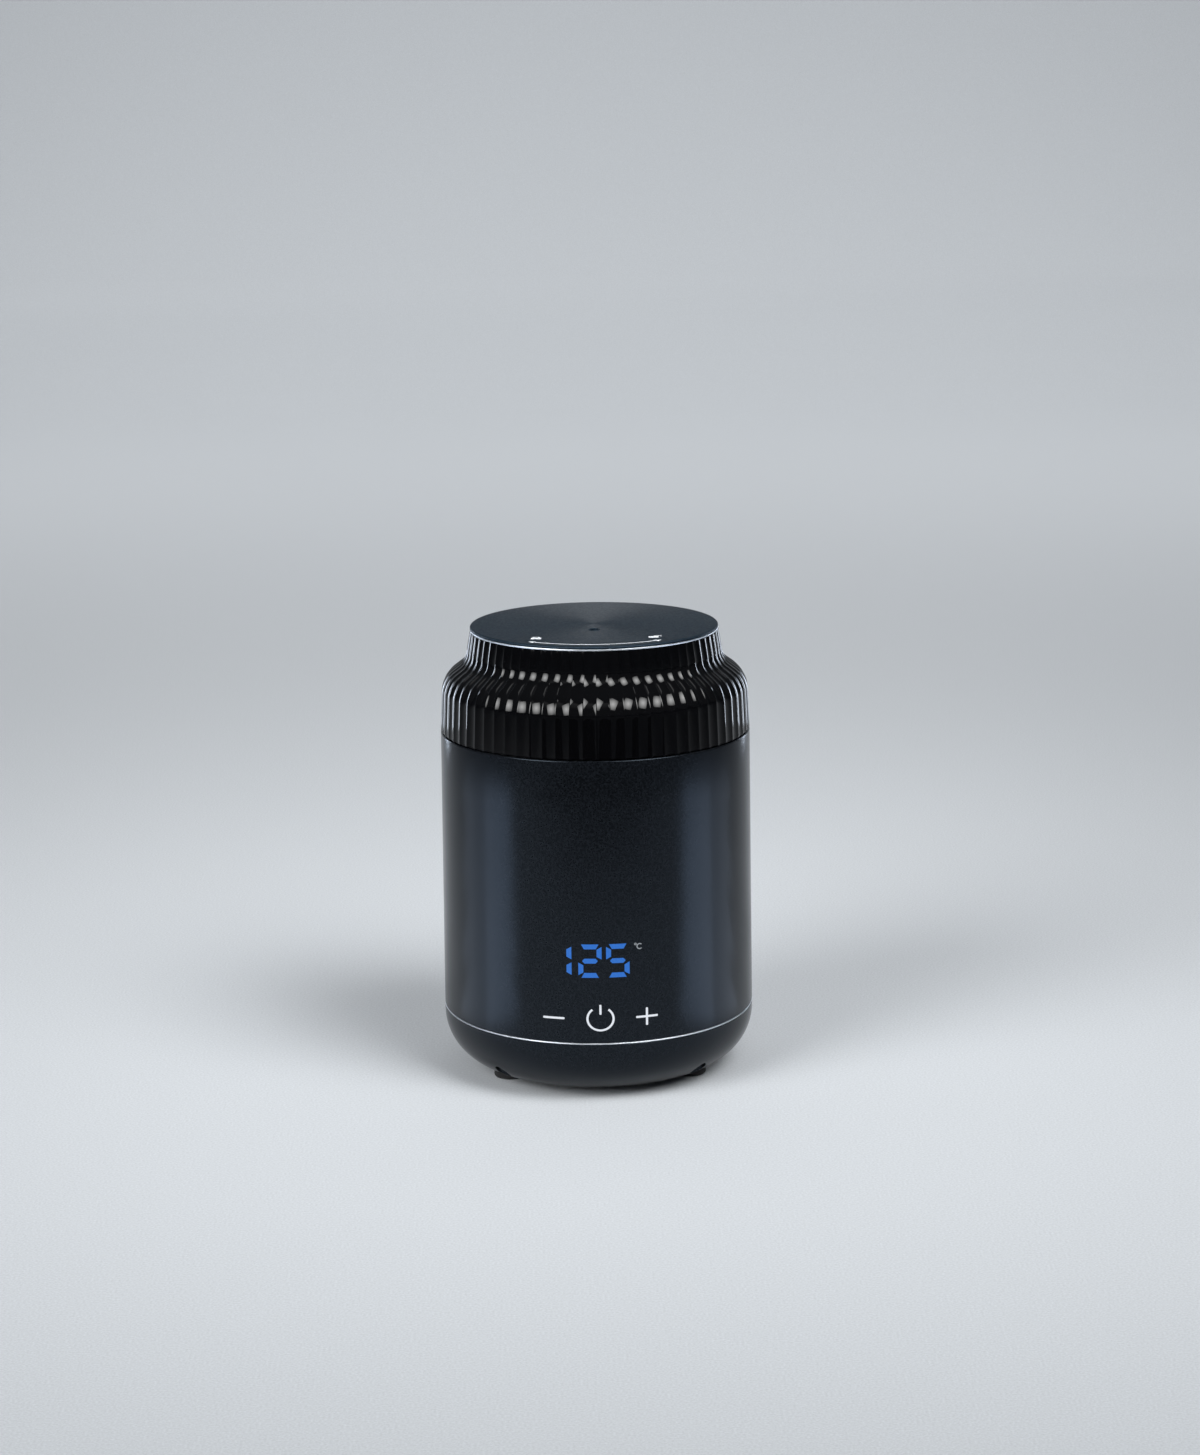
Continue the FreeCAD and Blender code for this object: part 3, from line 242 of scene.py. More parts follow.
@dataclass(frozen=True)
class Finish:
    """A surface: what it is made of, how it was worked and how far its patterns change it.

    The colour and the roughness go down and up by their shares, and the relief is as deep as its depth.
    """

    name: str
    colour: str
    roughness: float
    metallic: float = 0.0
    ior: float = 1.5
    sheen_tint: str = "#ffffff"
    anisotropy: float = 0.0
    glow: float = 0.0
    glow_colour: str = "#ffffff"
    shade_share: float = 0.1
    gloss_share: float = 0.1
    relief: float = 0.5
    depth: float = 0.01
    layers: tuple[Layer, ...] = ()

    def material(self) -> bpy.types.Material:
        """The finish as a material, made when it is first asked for.

        Returns:
            The one material of this finish.
        """
        found = bpy.data.materials.get(self.name)
        if found:
            return found
        made = bpy.data.materials.new(self.name)
        made.use_nodes = True
        tree = made.node_tree
        tree.nodes.clear()
        shader = add(tree, "ShaderNodeBsdfPrincipled", {
            "Base Color": linear(self.colour), "Roughness": self.roughness, "Metallic": self.metallic,
            "IOR": self.ior, "Specular Tint": linear(self.sheen_tint), "Anisotropic": self.anisotropy,
            "Emission Strength": self.glow,
        })
        add(tree, "ShaderNodeOutputMaterial", links={"Surface": shader.outputs["BSDF"]})
        if self.anisotropy:
            turning = add(tree, "ShaderNodeTangent", {"direction_type": "RADIAL", "axis": "Z"})
            tree.links.new(turning.outputs["Tangent"], shader.inputs["Tangent"])
        place = self.coordinates(tree, add(tree, "ShaderNodeTexCoord").outputs["Object"])
        for layer in self.layers:
            pattern = layer.draw(tree, place)
            for effect in layer.effects:
                tree.links.new(self.apply(tree, effect, pattern), shader.inputs[effect.value])
        return made

    def coordinates(self, tree: Tree, place: Socket) -> Socket:
        """Coordinates that the patterns follow.

        Args:
            tree: Node tree of the material.
            place: Object coordinates.

        Returns:
            The object coordinates, unless the work has a direction of its own.
        """
        return place

    def apply(self, tree: Tree, effect: Effect, pattern: Socket) -> Socket:
        """Turns a pattern into what the shader needs for an effect.

        Args:
            tree: Node tree of the material.
            effect: What the pattern changes.
            pattern: The pattern from 0 to 1.

        Returns:
            The normal, the roughness or the colour.
        """
        if effect is Effect.RELIEF:
            return add(tree, "ShaderNodeBump", {"Strength": self.relief, "Distance": self.depth * MM},
                       {"Height": pattern}).outputs["Normal"]
        if effect is Effect.GLOSS:
            return add(tree, "ShaderNodeMapRange", {
                "From Min": PATTERN_LOW, "From Max": PATTERN_HIGH,
                "To Min": self.roughness * (1 - self.gloss_share),
                "To Max": self.roughness * (1 + self.gloss_share),
            }, {"Value": pattern}).outputs["Result"]
        ramp = add(tree, "ShaderNodeValToRGB", links={"Fac": pattern})
        base = linear(self.glow_colour if effect is Effect.GLOW else self.colour)
        places = (PATTERN_LOW, PATTERN_HIGH)
        shares = (1 - self.shade_share, 1 + self.shade_share)
        for stop, place, share in zip(ramp.color_ramp.elements, places, shares):
            stop.position = place
            stop.color = tuple(min(1.0, part * share) for part in base[:3]) + (1.0,)
        return ramp.outputs["Color"]


@dataclass(frozen=True)
class MouldedPlastic(Finish):
    """Plastic from a matt mould: a fine dull grain, and cloudy gloss from the flow of the melt."""

    shade_share: float = 0.12
    depth: float = 0.012
    # Real mould grain is about 0.1 mm, and is drawn coarser so that it shows.
    layers: tuple[Layer, ...] = (
        Layer(0.45, (Effect.RELIEF, Effect.SHADE), {"Detail": 3.0, "Roughness": 0.6}),
        Layer(9.0, (Effect.GLOSS,), {"Detail": 2.0}),
    )


@dataclass(frozen=True)
class SparkTexturedPlastic(Finish):
    """Plastic from a spark-eroded mould: a speckled grain that breaks up reflections."""

    shade_share: float = 0.7
    depth: float = 0.03
    # Real spark texture is about 0.1 mm, and is drawn at 0.8 mm so that it shows.
    layers: tuple[Layer, ...] = (
        Layer(0.8, (Effect.RELIEF, Effect.SHADE), {"Detail": 3.0, "Roughness": 0.6}),
        Layer(16.0, (Effect.GLOSS,), {"Detail": 2.0}),
    )


@dataclass(frozen=True)
class PolishedPlastic(Finish):
    """Plastic from a polished mould: mirror gloss with faint sink waves and finger haze."""

    shade_share: float = 0.08
    gloss_share: float = 0.35
    relief: float = 0.3
    layers: tuple[Layer, ...] = (
        Layer(7.0, (Effect.RELIEF,), {"Detail": 1.0}),
        Layer(16.0, (Effect.SHADE, Effect.GLOSS), {"Detail": 5.0, "Roughness": 0.65}),
    )


@dataclass(frozen=True)
class SprayedLacquer(Finish):
    """Satin lacquer with fine flake over a turned disc: a sheen that fans out from the middle."""

    anisotropy: float = 0.65
    shade_share: float = 0.5
    gloss_share: float = 0.12
    depth: float = 0.03
    # Real flake is under 0.05 mm, and is drawn at 0.4 mm so that it shows.
    layers: tuple[Layer, ...] = (
        Layer(0.4, (Effect.SHADE,), texture=Texture.CELLS, output="Color"),
        Layer(0.7, (Effect.RELIEF, Effect.GLOSS), {"Detail": 2.0}),
    )


@dataclass(frozen=True)
class SpunMetal(Finish):
    """Metal turned on a lathe: fine rings round the axis that stretch the highlights."""

    shade_share: float = 0.06
    gloss_share: float = 0.25
    relief: float = 0.25
    # Real tool marks are about 0.1 mm apart, and are drawn wider so that they show.
    layers: tuple[Layer, ...] = (
        Layer(0.35, (Effect.RELIEF, Effect.SHADE, Effect.GLOSS), {"Detail": 2.0}),
    )

    def coordinates(self, tree: Tree, place: Socket) -> Socket:
        """Coordinates along the radius and the height, so that the pattern runs round the axis.

        Args:
            tree: Node tree of the material.
            place: Object coordinates.

        Returns:
            The radius as X and the height as Y.
        """
        flat = add(tree, "ShaderNodeVectorMath", {"operation": "MULTIPLY", 1: (1.0, 1.0, 0.0)}, {0: place})
        reach = add(tree, "ShaderNodeVectorMath", {"operation": "LENGTH"}, {0: flat.outputs["Vector"]})
        height = add(tree, "ShaderNodeSeparateXYZ", links={"Vector": place})
        along = {"X": reach.outputs["Value"], "Y": height.outputs["Z"]}
        return add(tree, "ShaderNodeCombineXYZ", links=along).outputs["Vector"]


@dataclass(frozen=True)
class PlatedMetal(Finish):
    """Rolled or plated metal: bright, with a faint rolling grain along one direction."""

    shade_share: float = 0.05
    gloss_share: float = 0.3
    stretch: float = 8.0
    layers: tuple[Layer, ...] = (Layer(0.5, (Effect.SHADE, Effect.GLOSS), {"Detail": 3.0}),)

    def coordinates(self, tree: Tree, place: Socket) -> Socket:
        """Coordinates that stretch the pattern along X.

        Args:
            tree: Node tree of the material.
            place: Object coordinates.

        Returns:
            The stretched coordinates.
        """
        scale = (1 / self.stretch, 1.0, 1.0)
        return add(tree, "ShaderNodeMapping", {"Scale": scale}, {"Vector": place}).outputs["Vector"]


@dataclass(frozen=True)
class SoftRubber(Finish):
    """Moulded rubber: dull, with bloom that greys it in patches over a finely pitted skin."""

    shade_share: float = 0.2
    relief: float = 0.4
    depth: float = 0.015
    layers: tuple[Layer, ...] = (
        Layer(3.0, (Effect.SHADE, Effect.GLOSS), {"Detail": 4.0}),
        Layer(0.3, (Effect.RELIEF,), {"Detail": 2.0}),
    )


@dataclass(frozen=True)
class MattedFibre(Finish):
    """Felted fibre: dull tufts that run every way."""

    shade_share: float = 0.25
    relief: float = 0.9
    depth: float = 0.2
    # Real fibres are a few hundredths of a millimetre thick, and show here as tufts.
    layers: tuple[Layer, ...] = (
        Layer(0.8, (Effect.RELIEF, Effect.SHADE), {"Detail": 6.0, "Roughness": 0.7, "Distortion": 2.5}),
    )


@dataclass(frozen=True)
class SolderMask(Finish):
    """Circuit board: green mask over copper tracks that show as lighter lanes."""

    shade_share: float = 0.3
    relief: float = 0.4
    depth: float = 0.03
    # Real tracks are about 0.5 mm apart, and are drawn wider so that they show.
    layers: tuple[Layer, ...] = (
        Layer(2.5, (Effect.RELIEF, Effect.SHADE), {"distance": "CHEBYCHEV", "Randomness": 0.7},
              Texture.CELLS, "Distance"),
    )


@dataclass(frozen=True)
class LitSign(Finish):
    """Dark diffuser with light behind it: an even glow with fine grain."""

    glow: float = 1.0
    shade_share: float = 0.08
    # Real diffuser grain is under 0.05 mm, and is drawn coarser so that it shows.
    layers: tuple[Layer, ...] = (Layer(0.35, (Effect.GLOW,), {"Detail": 2.0}),)


@dataclass(frozen=True)
class DyedSurface(Finish):
    """Ink, paper or cloth: flat and dull, with the dye a little thin in places."""

    layers: tuple[Layer, ...] = (Layer(0.8, (Effect.SHADE, Effect.GLOSS), {"Detail": 3.0}),)


FINISHES: dict[Slot, Finish] = {
    # Polished ABS: deep black body under a mirror skin.
    Slot.LID_GLOSS: PolishedPlastic("polished_black_ABS", "#040405", 0.035, ior=1.39),
    # Lacquer on turned aluminium: slate grey, with a soft sheen from the middle towards the light.
    Slot.LID_PLATE: SprayedLacquer("satin_slate_lacquer", "#0f1921", 0.45, ior=1.38, sheen_tint="#c4e2ff"),
    # Spark-textured ABS: charcoal with a broad soft reflection that its grain breaks up.
    Slot.SHELL_SATIN: SparkTexturedPlastic("spark_textured_charcoal_ABS", "#0c0e11", 0.2, ior=1.31,
                                           sheen_tint="#d2e6fc"),
    # Heat-proof PBT: matt black, not seen until the lid is off.
    Slot.INNER_PLASTIC: MouldedPlastic("matt_black_PBT", "#17181a", 0.5),
    # Satin nickel: a thin even line of light at the seam and round the plate.
    Slot.BRIGHT_TRIM: PlatedMetal("satin_nickel_plate", "#d3d8de", 0.42, metallic=1.0),
    # Moulded rubber: dull near-black.
    Slot.SOFT_BLACK: SoftRubber("moulded_black_rubber", "#141415", 0.75),
    # Silicone: pale grey, waxy.
    Slot.SILICONE: SoftRubber("grey_silicone_rubber", "#9a9c9a", 0.5, ior=1.41),
    # Spun and anodised aluminium: pale rings.
    Slot.POT_METAL: SpunMetal("spun_anodised_aluminium", "#b9bdc1", 0.3, metallic=1.0),
    # Zinc-plated steel: cool grey.
    Slot.STEEL: PlatedMetal("zinc_plated_steel", "#b1b4b8", 0.32, metallic=1.0),
    # Mineral fibre felt: off-white tufts.
    Slot.FELT: MattedFibre("mineral_fibre_felt", "#cfc8b8", 0.95),
    # Glass-epoxy laminate under solder mask: glossy green with lighter lanes.
    Slot.BOARD_GREEN: SolderMask("green_masked_laminate", "#1c5a34", 0.35),
    # Epoxy moulding compound: dull black cases.
    Slot.COMPONENT_BLACK: MouldedPlastic("black_epoxy_moulding", "#191a1b", 0.45),
    # Dyed PBT: the relay's even blue.
    Slot.RELAY_BLUE: MouldedPlastic("blue_PBT", "#2458a8", 0.38),
    # Dyed polyamide: the terminals' even green.
    Slot.TERMINAL_GREEN: MouldedPlastic("green_polyamide", "#2f8a4c", 0.42),
    # Drawn aluminium: bright cans with a faint grain.
    Slot.CAN_METAL: PlatedMetal("drawn_aluminium", "#c2c4c6", 0.27, metallic=1.0),
    # Nickel on brass: bright contacts with a yellow cast.
    Slot.CONTACT_BRASS: PlatedMetal("nickel_plated_brass", "#c9b98e", 0.25, metallic=1.0),
    # Silicone jacket: dull brick red.
    Slot.LEAD_JACKET: SoftRubber("red_silicone_jacket", "#9c3a2e", 0.5, ior=1.41),
    # Extruded PVC: an even soft grey.
    Slot.RIBBON_GREY: SoftRubber("grey_PVC", "#9a9da1", 0.45),
}
# Tinted polycarbonate over blue light: an even saturated glow.
DIGIT_LIGHT = LitSign("blue_lit_diffuser", "#0b0c0e", 0.4, glow_colour="#1a68c4")
# Smoked polycarbonate over white light: bright cool signs.
SIGN_LIGHT = LitSign("white_lit_diffuser", "#0b0c0e", 0.4, glow_colour="#dfe4ec")
# The same with less light behind it: a pale grey unit.
UNIT_LIGHT = LitSign("dim_white_diffuser", "#0b0c0e", 0.4, glow_colour="#8f959b")
# Pad-printed ink: thin pale lines without gloss.
LID_INK = DyedSurface("pale_grey_ink", "#e9eef3", 0.45)
# Seamless background paper: pale and quite dull.
FLOOR_PAPER = DyedSurface("pale_matt_paper", "#bfc3c7", 0.85)
# Cotton velvet: black with hardly any reflection.
CARD_VELVET = DyedSurface("black_cotton_velvet", "#050505", 0.95)


class Workpiece:
    """A mesh on the bench, shaped by operators as by hand."""

    def __init__(self, name: str) -> None:
        """Takes over the object that an operator has just added, and names it."""
        self.obj: bpy.types.Object = bpy.context.view_layer.objects.active
        self.obj.name = name
        self.obj.data.name = name

    @staticmethod
    def clear_bench() -> None:
        """Leaves edit mode and deselects everything."""
        active = bpy.context.view_layer.objects.active
        if active and active.mode != "OBJECT":
            bpy.ops.object.mode_set(mode="OBJECT")
        bpy.ops.object.select_all(action="DESELECT")

    @classmethod
    def point(cls, name: str, place: Vector) -> "Workpiece":
        """Adds a single point, open in edit mode for extruding.

        Args:
            name: Name of the piece.
            place: Place of the point in metres.

        Returns:
            The piece.
        """
        cls.clear_bench()
        bpy.ops.mesh.primitive_plane_add(size=MM)
        piece = cls(name)
        piece.open()
        bpy.ops.mesh.merge(type="COLLAPSE")
        bpy.ops.transform.translate(value=place)
        return piece

    @classmethod
    def turned(cls, name: str, outline: Outline, steps: int = WIDE_STEPS, start: float = 0.0,
               sweep: float = 360.0) -> "Workpiece":
        """Spins an outline round the axis.

        Args:
            name: Name of the piece.
            outline: Points as (radius, height), from axis to axis or closed on itself.
            steps: Number of steps in the sweep.
            start: Azimuth at which the sweep starts.
            sweep: Degrees swept, with the ends capped where it isn't a full turn.

        Returns:
            The turned piece.
        """
        here = spot(outline[0][0], start, outline[0][1])
        piece = cls.point(name, here)
        for radius, height in outline[1:]:
            there = spot(radius, start, height)
            bpy.ops.mesh.extrude_region_move(TRANSFORM_OT_translate={"value": there - here})
            here = there
        piece.spin(steps, -sweep, Vector(), UP)
        if sweep < 360:
            bpy.ops.mesh.fill_holes(sides=0)
        piece.face_outwards()
        return piece

    @classmethod
    def block(cls, name: str, size: Sequence[float], centre: Sequence[float]) -> "Workpiece":
        """Adds a box.

        Args:
            name: Name of the piece.
            size: Size along X, Y and Z.
            centre: Middle of the box.

        Returns:
            The box.
        """
        cls.clear_bench()
        bpy.ops.mesh.primitive_cube_add(size=1, location=Vector(centre) * MM, scale=Vector(size) * MM)
        piece = cls(name)
        piece.settle()
        return piece

    @classmethod
    def rod(cls, name: str, radius: float, low: float, high: float, centre: Vector) -> "Workpiece":
        """Adds an upright rod.

        Args:
            name: Name of the piece.
            radius: Radius of the rod.
            low: Height of its lower end.
            high: Height of its upper end.
            centre: Point in metres that it stands round.

        Returns:
            The rod.
        """
        cls.clear_bench()
        bpy.ops.mesh.primitive_cylinder_add(vertices=SMALL_STEPS, radius=radius * MM, depth=(high - low) * MM,
                                            location=(centre.x, centre.y, (low + high) / 2 * MM))
        piece = cls(name)
        piece.settle()
        return piece

    @classmethod
    def strip(cls, name: str, centre: Vector, radii: tuple[float, float], start: float, sweep: float,
              axis: Vector) -> "Workpiece":
        """Spins a short edge into a flat curved strip.

        Args:
            name: Name of the piece.
            centre: Middle of the curve in metres.
            radii: Inner and outer radius.
            start: First angle in degrees from straight up or forward, clockwise as the strip is seen.
            sweep: Degrees swept.
            axis: Direction that the strip faces.

        Returns:
            The flat strip.
        """
        inner, outer = radii
        top = UP if axis.y else Vector((0, 1, 0))
        angle = math.radians(start)
        reach = (top * math.cos(angle) + top.cross(axis) * math.sin(angle)) * MM
        piece = cls.point(name, centre + reach * inner)
        bpy.ops.mesh.extrude_region_move(TRANSFORM_OT_translate={"value": reach * (outer - inner)})
        piece.spin(round(sweep / STRIP_STEP), sweep, centre, axis)
        piece.close()
        return piece

    def spin(self, steps: int, angle: float, centre: Vector, axis: Vector) -> None:
        """Spins all of the open mesh and merges the doubles.

        Args:
            steps: Number of steps.
            angle: Degrees swept.
            centre: Point in metres that it is spun round.
            axis: Direction of the axis.
        """
        bpy.ops.mesh.select_all(action="SELECT")
        bpy.ops.mesh.remove_doubles(threshold=MERGE)
        bpy.ops.mesh.spin(steps=steps, angle=math.radians(angle), center=centre, axis=axis)
        bpy.ops.mesh.select_all(action="SELECT")
        bpy.ops.mesh.remove_doubles(threshold=MERGE)

    def activate(self) -> None:
        """Makes this the one selected object."""
        self.clear_bench()
        bpy.context.view_layer.objects.active = self.obj
        self.obj.select_set(True)

    def open(self) -> None:
        """Goes into edit mode with everything selected."""
        self.activate()
        bpy.ops.object.mode_set(mode="EDIT")
        bpy.ops.mesh.select_mode(type="VERT")
        bpy.ops.mesh.select_all(action="SELECT")

    def close(self) -> None:
        """Goes back to object mode."""
        bpy.ops.object.mode_set(mode="OBJECT")

    def settle(self) -> None:
        """Puts the object's place, turn and scale into its mesh."""
        self.activate()
        bpy.ops.object.transform_apply(location=True, rotation=True, scale=True)

    def face_outwards(self) -> None:
        """Turns every face outwards and leaves edit mode."""
        bpy.ops.mesh.select_all(action="SELECT")
        bpy.ops.mesh.normals_make_consistent(inside=False)
        self.close()

    def shift(self, move: Sequence[float]) -> None:
        """Moves the mesh by a step in metres."""
        self.open()
        bpy.ops.transform.translate(value=move)
        self.close()

    def pick(self, test: Callable[..., bool], edges: bool = False) -> None:
        """Selects some points or edges of the open mesh, and nothing else.

        Args:
            test: Says of a point's place, or of the places of an edge's two ends, whether it is selected.
            edges: Whether edges are picked in place of points.
        """
        bpy.ops.mesh.select_mode(type="EDGE" if edges else "VERT")
        bpy.ops.mesh.select_all(action="DESELECT")
        mesh = bmesh.from_edit_mesh(self.obj.data)
        for item in mesh.edges if edges else mesh.verts:
            ends = item.verts if edges else (item,)
            item.select_set(test(*[vert.co for vert in ends]))
        mesh.select_flush_mode()
        bmesh.update_edit_mesh(self.obj.data)

    def modify(self, kind: str, **settings: object) -> None:
        """Adds a modifier and applies it.

        Args:
            kind: Blender's name for the kind of modifier.
            settings: Values by property.
        """
        self.activate()
        bpy.ops.object.modifier_add(type=kind)
        modifier = self.obj.modifiers[-1]
        for key, value in settings.items():
            setattr(modifier, key, value)
        bpy.ops.object.modifier_apply(modifier=modifier.name)

    def cut(self, *tools: "Workpiece") -> None:
        """Cuts other pieces out of this one and clears them away.

        Args:
            tools: Pieces that leave their shape behind.
        """
        for tool in tools:
            self.modify("BOOLEAN", object=tool.obj, operation="DIFFERENCE", solver="EXACT")
            bpy.data.objects.remove(tool.obj)

    def fuse(self, other: "Workpiece") -> None:
        """Makes another piece one body with this one."""
        self.modify("BOOLEAN", object=other.obj, operation="UNION", solver="EXACT")
        bpy.data.objects.remove(other.obj)

    def add_in(self, *others: "Workpiece") -> None:
        """Joins other pieces into this one's mesh.

        Args:
            others: Pieces that become part of this one.
        """
        self.activate()
        for other in others:
            other.obj.select_set(True)
        bpy.ops.object.join()

    def copies_round(self, turns: Iterable[float]) -> list["Workpiece"]:
        """Copies this piece round the axis.

        Args:
            turns: Degrees by which each copy is turned.

        Returns:
            The copies, each with its own mesh.
        """
        made = []
        for turn in turns:
            self.activate()
            bpy.ops.object.duplicate(linked=False)
            copy = Workpiece(self.obj.name)
            copy.open()
            bpy.ops.transform.rotate(value=-math.radians(turn), orient_axis="Z", center_override=(0, 0, 0))
            copy.close()
            made.append(copy)
        return made

    def smooth(self, angle: float) -> None:
        """Shades the mesh smooth up to an angle in degrees between faces."""
        self.activate()
        bpy.ops.object.shade_smooth_by_angle(angle=math.radians(angle))

    def mount(self, body: Body, slot: Slot, *nodes: str, crease: float = CREASE,
              finish: Finish | None = None) -> None:
        """Shades the finished piece, dresses it and ties it to the frame.

        Args:
            body: Body that it rides on.
            slot: Material slot of the record.
            nodes: Nodes of the frame that it stands for.
            crease: Degrees between faces above which an edge shows, or 0 for a piece of flat faces.
            finish: Its surface, where that isn't the slot's own.
        """
        if crease:
            self.smooth(crease)
        self.settle()
        self.obj.data.materials.clear()
        self.obj.data.materials.append((finish or FINISHES[slot]).material())
        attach(self.obj, body.value)
        if nodes:
            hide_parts(*nodes)
        log.info("%s: %d faces, rides on %s", self.obj.name, len(self.obj.data.polygons), body.value)


@dataclass
class Lid:
    """Fluted twist lid: cap, top plate, printed marks, liner, seal and washer."""

    bottom_z: float = 128.75
    bottom_radius: float = 57.3
    skirt_top_radius: float = 56.65
    skirt_height: float = 14.2
    shoulder_radius: float = 10.6
    hollow_radius: float = 7.0
    slope: float = 53.9
    run: float = 3.0
    neck_height: float = 7.0
    neck_taper: float = 1.2
    wall: float = 2.2
    roof: float = 2.0
    rim_ease: float = 0.3
    flute_count: int = 72
    flute_depth: float = 0.4
    flute_shares: tuple[float, ...] = (0.0, 0.05, 0.19, 0.34, 0.5, 0.66, 0.81, 0.95)
    fine_arc: int = 10
    coarse_arc: int = 6
    round_arc: int = 12
    lug_low: float = 129.6
    lug_high: float = 132.2
    lug_inner: float = 52.3
    lug_angle: float = 16.0
    lug_steps: int = 8
    hub_radius: float = 7.0
    hub_tip_radius: float = 4.0
    hub_low: float = 136.7
    hub_shoulder_z: float = 140.6
    plate_thickness: float = 1.7
    plate_round: float = 0.7
    edge_height: float = 0.65
    edge_width: float = 0.45
    edge_ease: float = 0.1
    vent_radius: float = 1.7
    vent_offset: float = 12.5
    bead_radius: float = 0.35
    mark_radius: float = 41.8
    mark_width: float = 0.65
    mark_reach: float = 31.0
    mark_lift: float = 0.02
    arrow_radius: float = 1.6
    arrow_step: float = 1.5
    lock_radius: float = 35.6
    lock_reach: float = 36.5
    lock_size: tuple[float, float] = (3.6, 2.6)
    shackle_radii: tuple[float, float] = (0.9, 1.5)
    liner_bore: float = 4.05
    liner_low: float = 138.7
    liner_high: float = 140.3
    liner_ease: float = 0.2
    lip_low: float = 137.0
    lip_wall: float = 1.2
    groove_inner: float = 44.4
    groove_outer: float = 48.1
    drain_radius: float = 1.5
    drain_circle: float = 20.0
    seal_gap: float = 0.1
    seal_tip: float = 136.1
    washer_radius: float = 7.5
    washer_low: float = 137.4
    washer_high: float = 138.4
    washer_steps: int = 64

    def __post_init__(self) -> None:
        """Works out where the curves of the profile meet."""
        sine = math.sin(math.radians(self.slope))
        share = 1 - math.cos(math.radians(self.slope))
        self.skirt_top_z = self.bottom_z + self.skirt_height
        run_radius = self.skirt_top_radius - self.shoulder_radius * share - self.run * sine
        run_z = self.skirt_top_z + self.shoulder_radius * sine + self.run * (1 - share)
        self.neck_radius = run_radius - self.hollow_radius * share
        self.neck_z = run_z + self.hollow_radius * sine
        self.neck_top_z = self.neck_z + self.neck_height
        self.neck_top_radius = self.neck_radius - self.neck_taper
        self.top_z = self.neck_top_z + self.plate_thickness

    def skin(self) -> Outline:
        """Outside of the cap.

        Returns:
            The points from the lower rim up to the top of the neck.
        """
        shoulder = (self.skirt_top_radius - self.shoulder_radius, self.skirt_top_z)
        hollow = (self.neck_radius + self.hollow_radius, self.neck_z)
        return [
            (self.bottom_radius - self.rim_ease, self.bottom_z),
            (self.bottom_radius, self.bottom_z + self.rim_ease),
            *arc(shoulder, self.shoulder_radius, 0, self.slope, self.fine_arc),
            *arc(hollow, self.hollow_radius, 180 + self.slope, 180, self.fine_arc),
            (self.neck_top_radius, self.neck_top_z),
        ]

    def lining(self) -> Outline:
        """Inside of the cap.

        Returns:
            The points from the roof down to the lower rim.
        """
        bore = self.skirt_top_radius - self.wall
        round_radius = self.shoulder_radius - self.wall
        shoulder = (bore - round_radius, self.skirt_top_z)
        hollow = (self.neck_radius + self.hollow_radius, self.neck_z)
        return [
            (0, self.neck_top_z - self.roof),
            (self.neck_top_radius - self.wall, self.neck_top_z - self.roof),
            *arc(hollow, self.hollow_radius + self.wall, 180, 180 + self.slope, self.coarse_arc),
            *arc(shoulder, round_radius, self.slope, 0, self.coarse_arc),
            (bore, self.bottom_z),
        ]

    def flute(self, cap: Workpiece, skin: Outline) -> None:
        """Presses the flutes into the turned cap.

        Args:
            cap: Cap with as many steps to a flute as there are flute shares.
            skin: Outline of the outside, whose points are pressed in.
        """
        steps = len(self.flute_shares)
        pitch = 360 / self.flute_count
        stations = {(round(radius, 2), round(z, 2)) for radius, z in skin}

        def row(place: Vector) -> int | None:
            """Finds where in its flute a point lies.

            Args:
                place: Place of the point.

            Returns:
                Its step within the flute, or None for a point that isn't on the outside.
            """
            reach = math.hypot(place.x, place.y) / MM
            if (round(reach, 2), round(place.z / MM, 2)) not in stations:
                return None
            azimuth = math.degrees(math.atan2(place.x, -place.y))
            return round(azimuth / pitch * steps) % steps

        cap.open()
        for step, share in enumerate(self.flute_shares[1:], 1):
            cap.pick(lambda place: row(place) == step)
            shift = math.radians((share - step / steps) * pitch)
            bpy.ops.transform.rotate(value=-shift, orient_axis="Z", center_override=(0, 0, 0))
            depth = self.flute_depth * (1 - (2 * share - 1) ** 2)
            bpy.ops.transform.shrink_fatten(value=-depth * MM)
        cap.close()

    def build_cap(self) -> None:
        """Turns the cap, presses the flutes in and adds the lugs and the hub."""
        skin = self.skin()
        outline = [(0, self.neck_top_z), *reversed(skin), *reversed(self.lining())]
        cap = Workpiece.turned("lid_cap", outline, self.flute_count * len(self.flute_shares))
        self.flute(cap, skin)
        wall_middle = self.skirt_top_radius - self.wall / 2
        lug = Workpiece.turned("lid_lug", ring(self.lug_inner, wall_middle, self.lug_low, self.lug_high),
                               self.lug_steps, -self.lug_angle / 2, self.lug_angle)
        tip, ease = self.hub_tip_radius, self.rim_ease
        hub_top = self.neck_top_z - self.roof / 2
        hub = Workpiece.turned("lid_hub", [
            (0, self.hub_low), (tip - ease, self.hub_low), (tip, self.hub_low + ease),
            (tip, self.hub_shoulder_z), (self.hub_radius, self.hub_shoulder_z),
            (self.hub_radius, hub_top), (0, hub_top),
        ], SMALL_STEPS)
        cap.cut(Workpiece.rod("vent_tool", self.vent_radius, self.neck_top_z - 2 * self.roof, self.top_z,
                              spot(self.vent_offset, 0, 0)))
        cap.add_in(lug, *lug.copies_round(THIRDS), hub)
        cap.mount(Body.LID, Slot.LID_GLOSS, "lid_shell", crease=40)

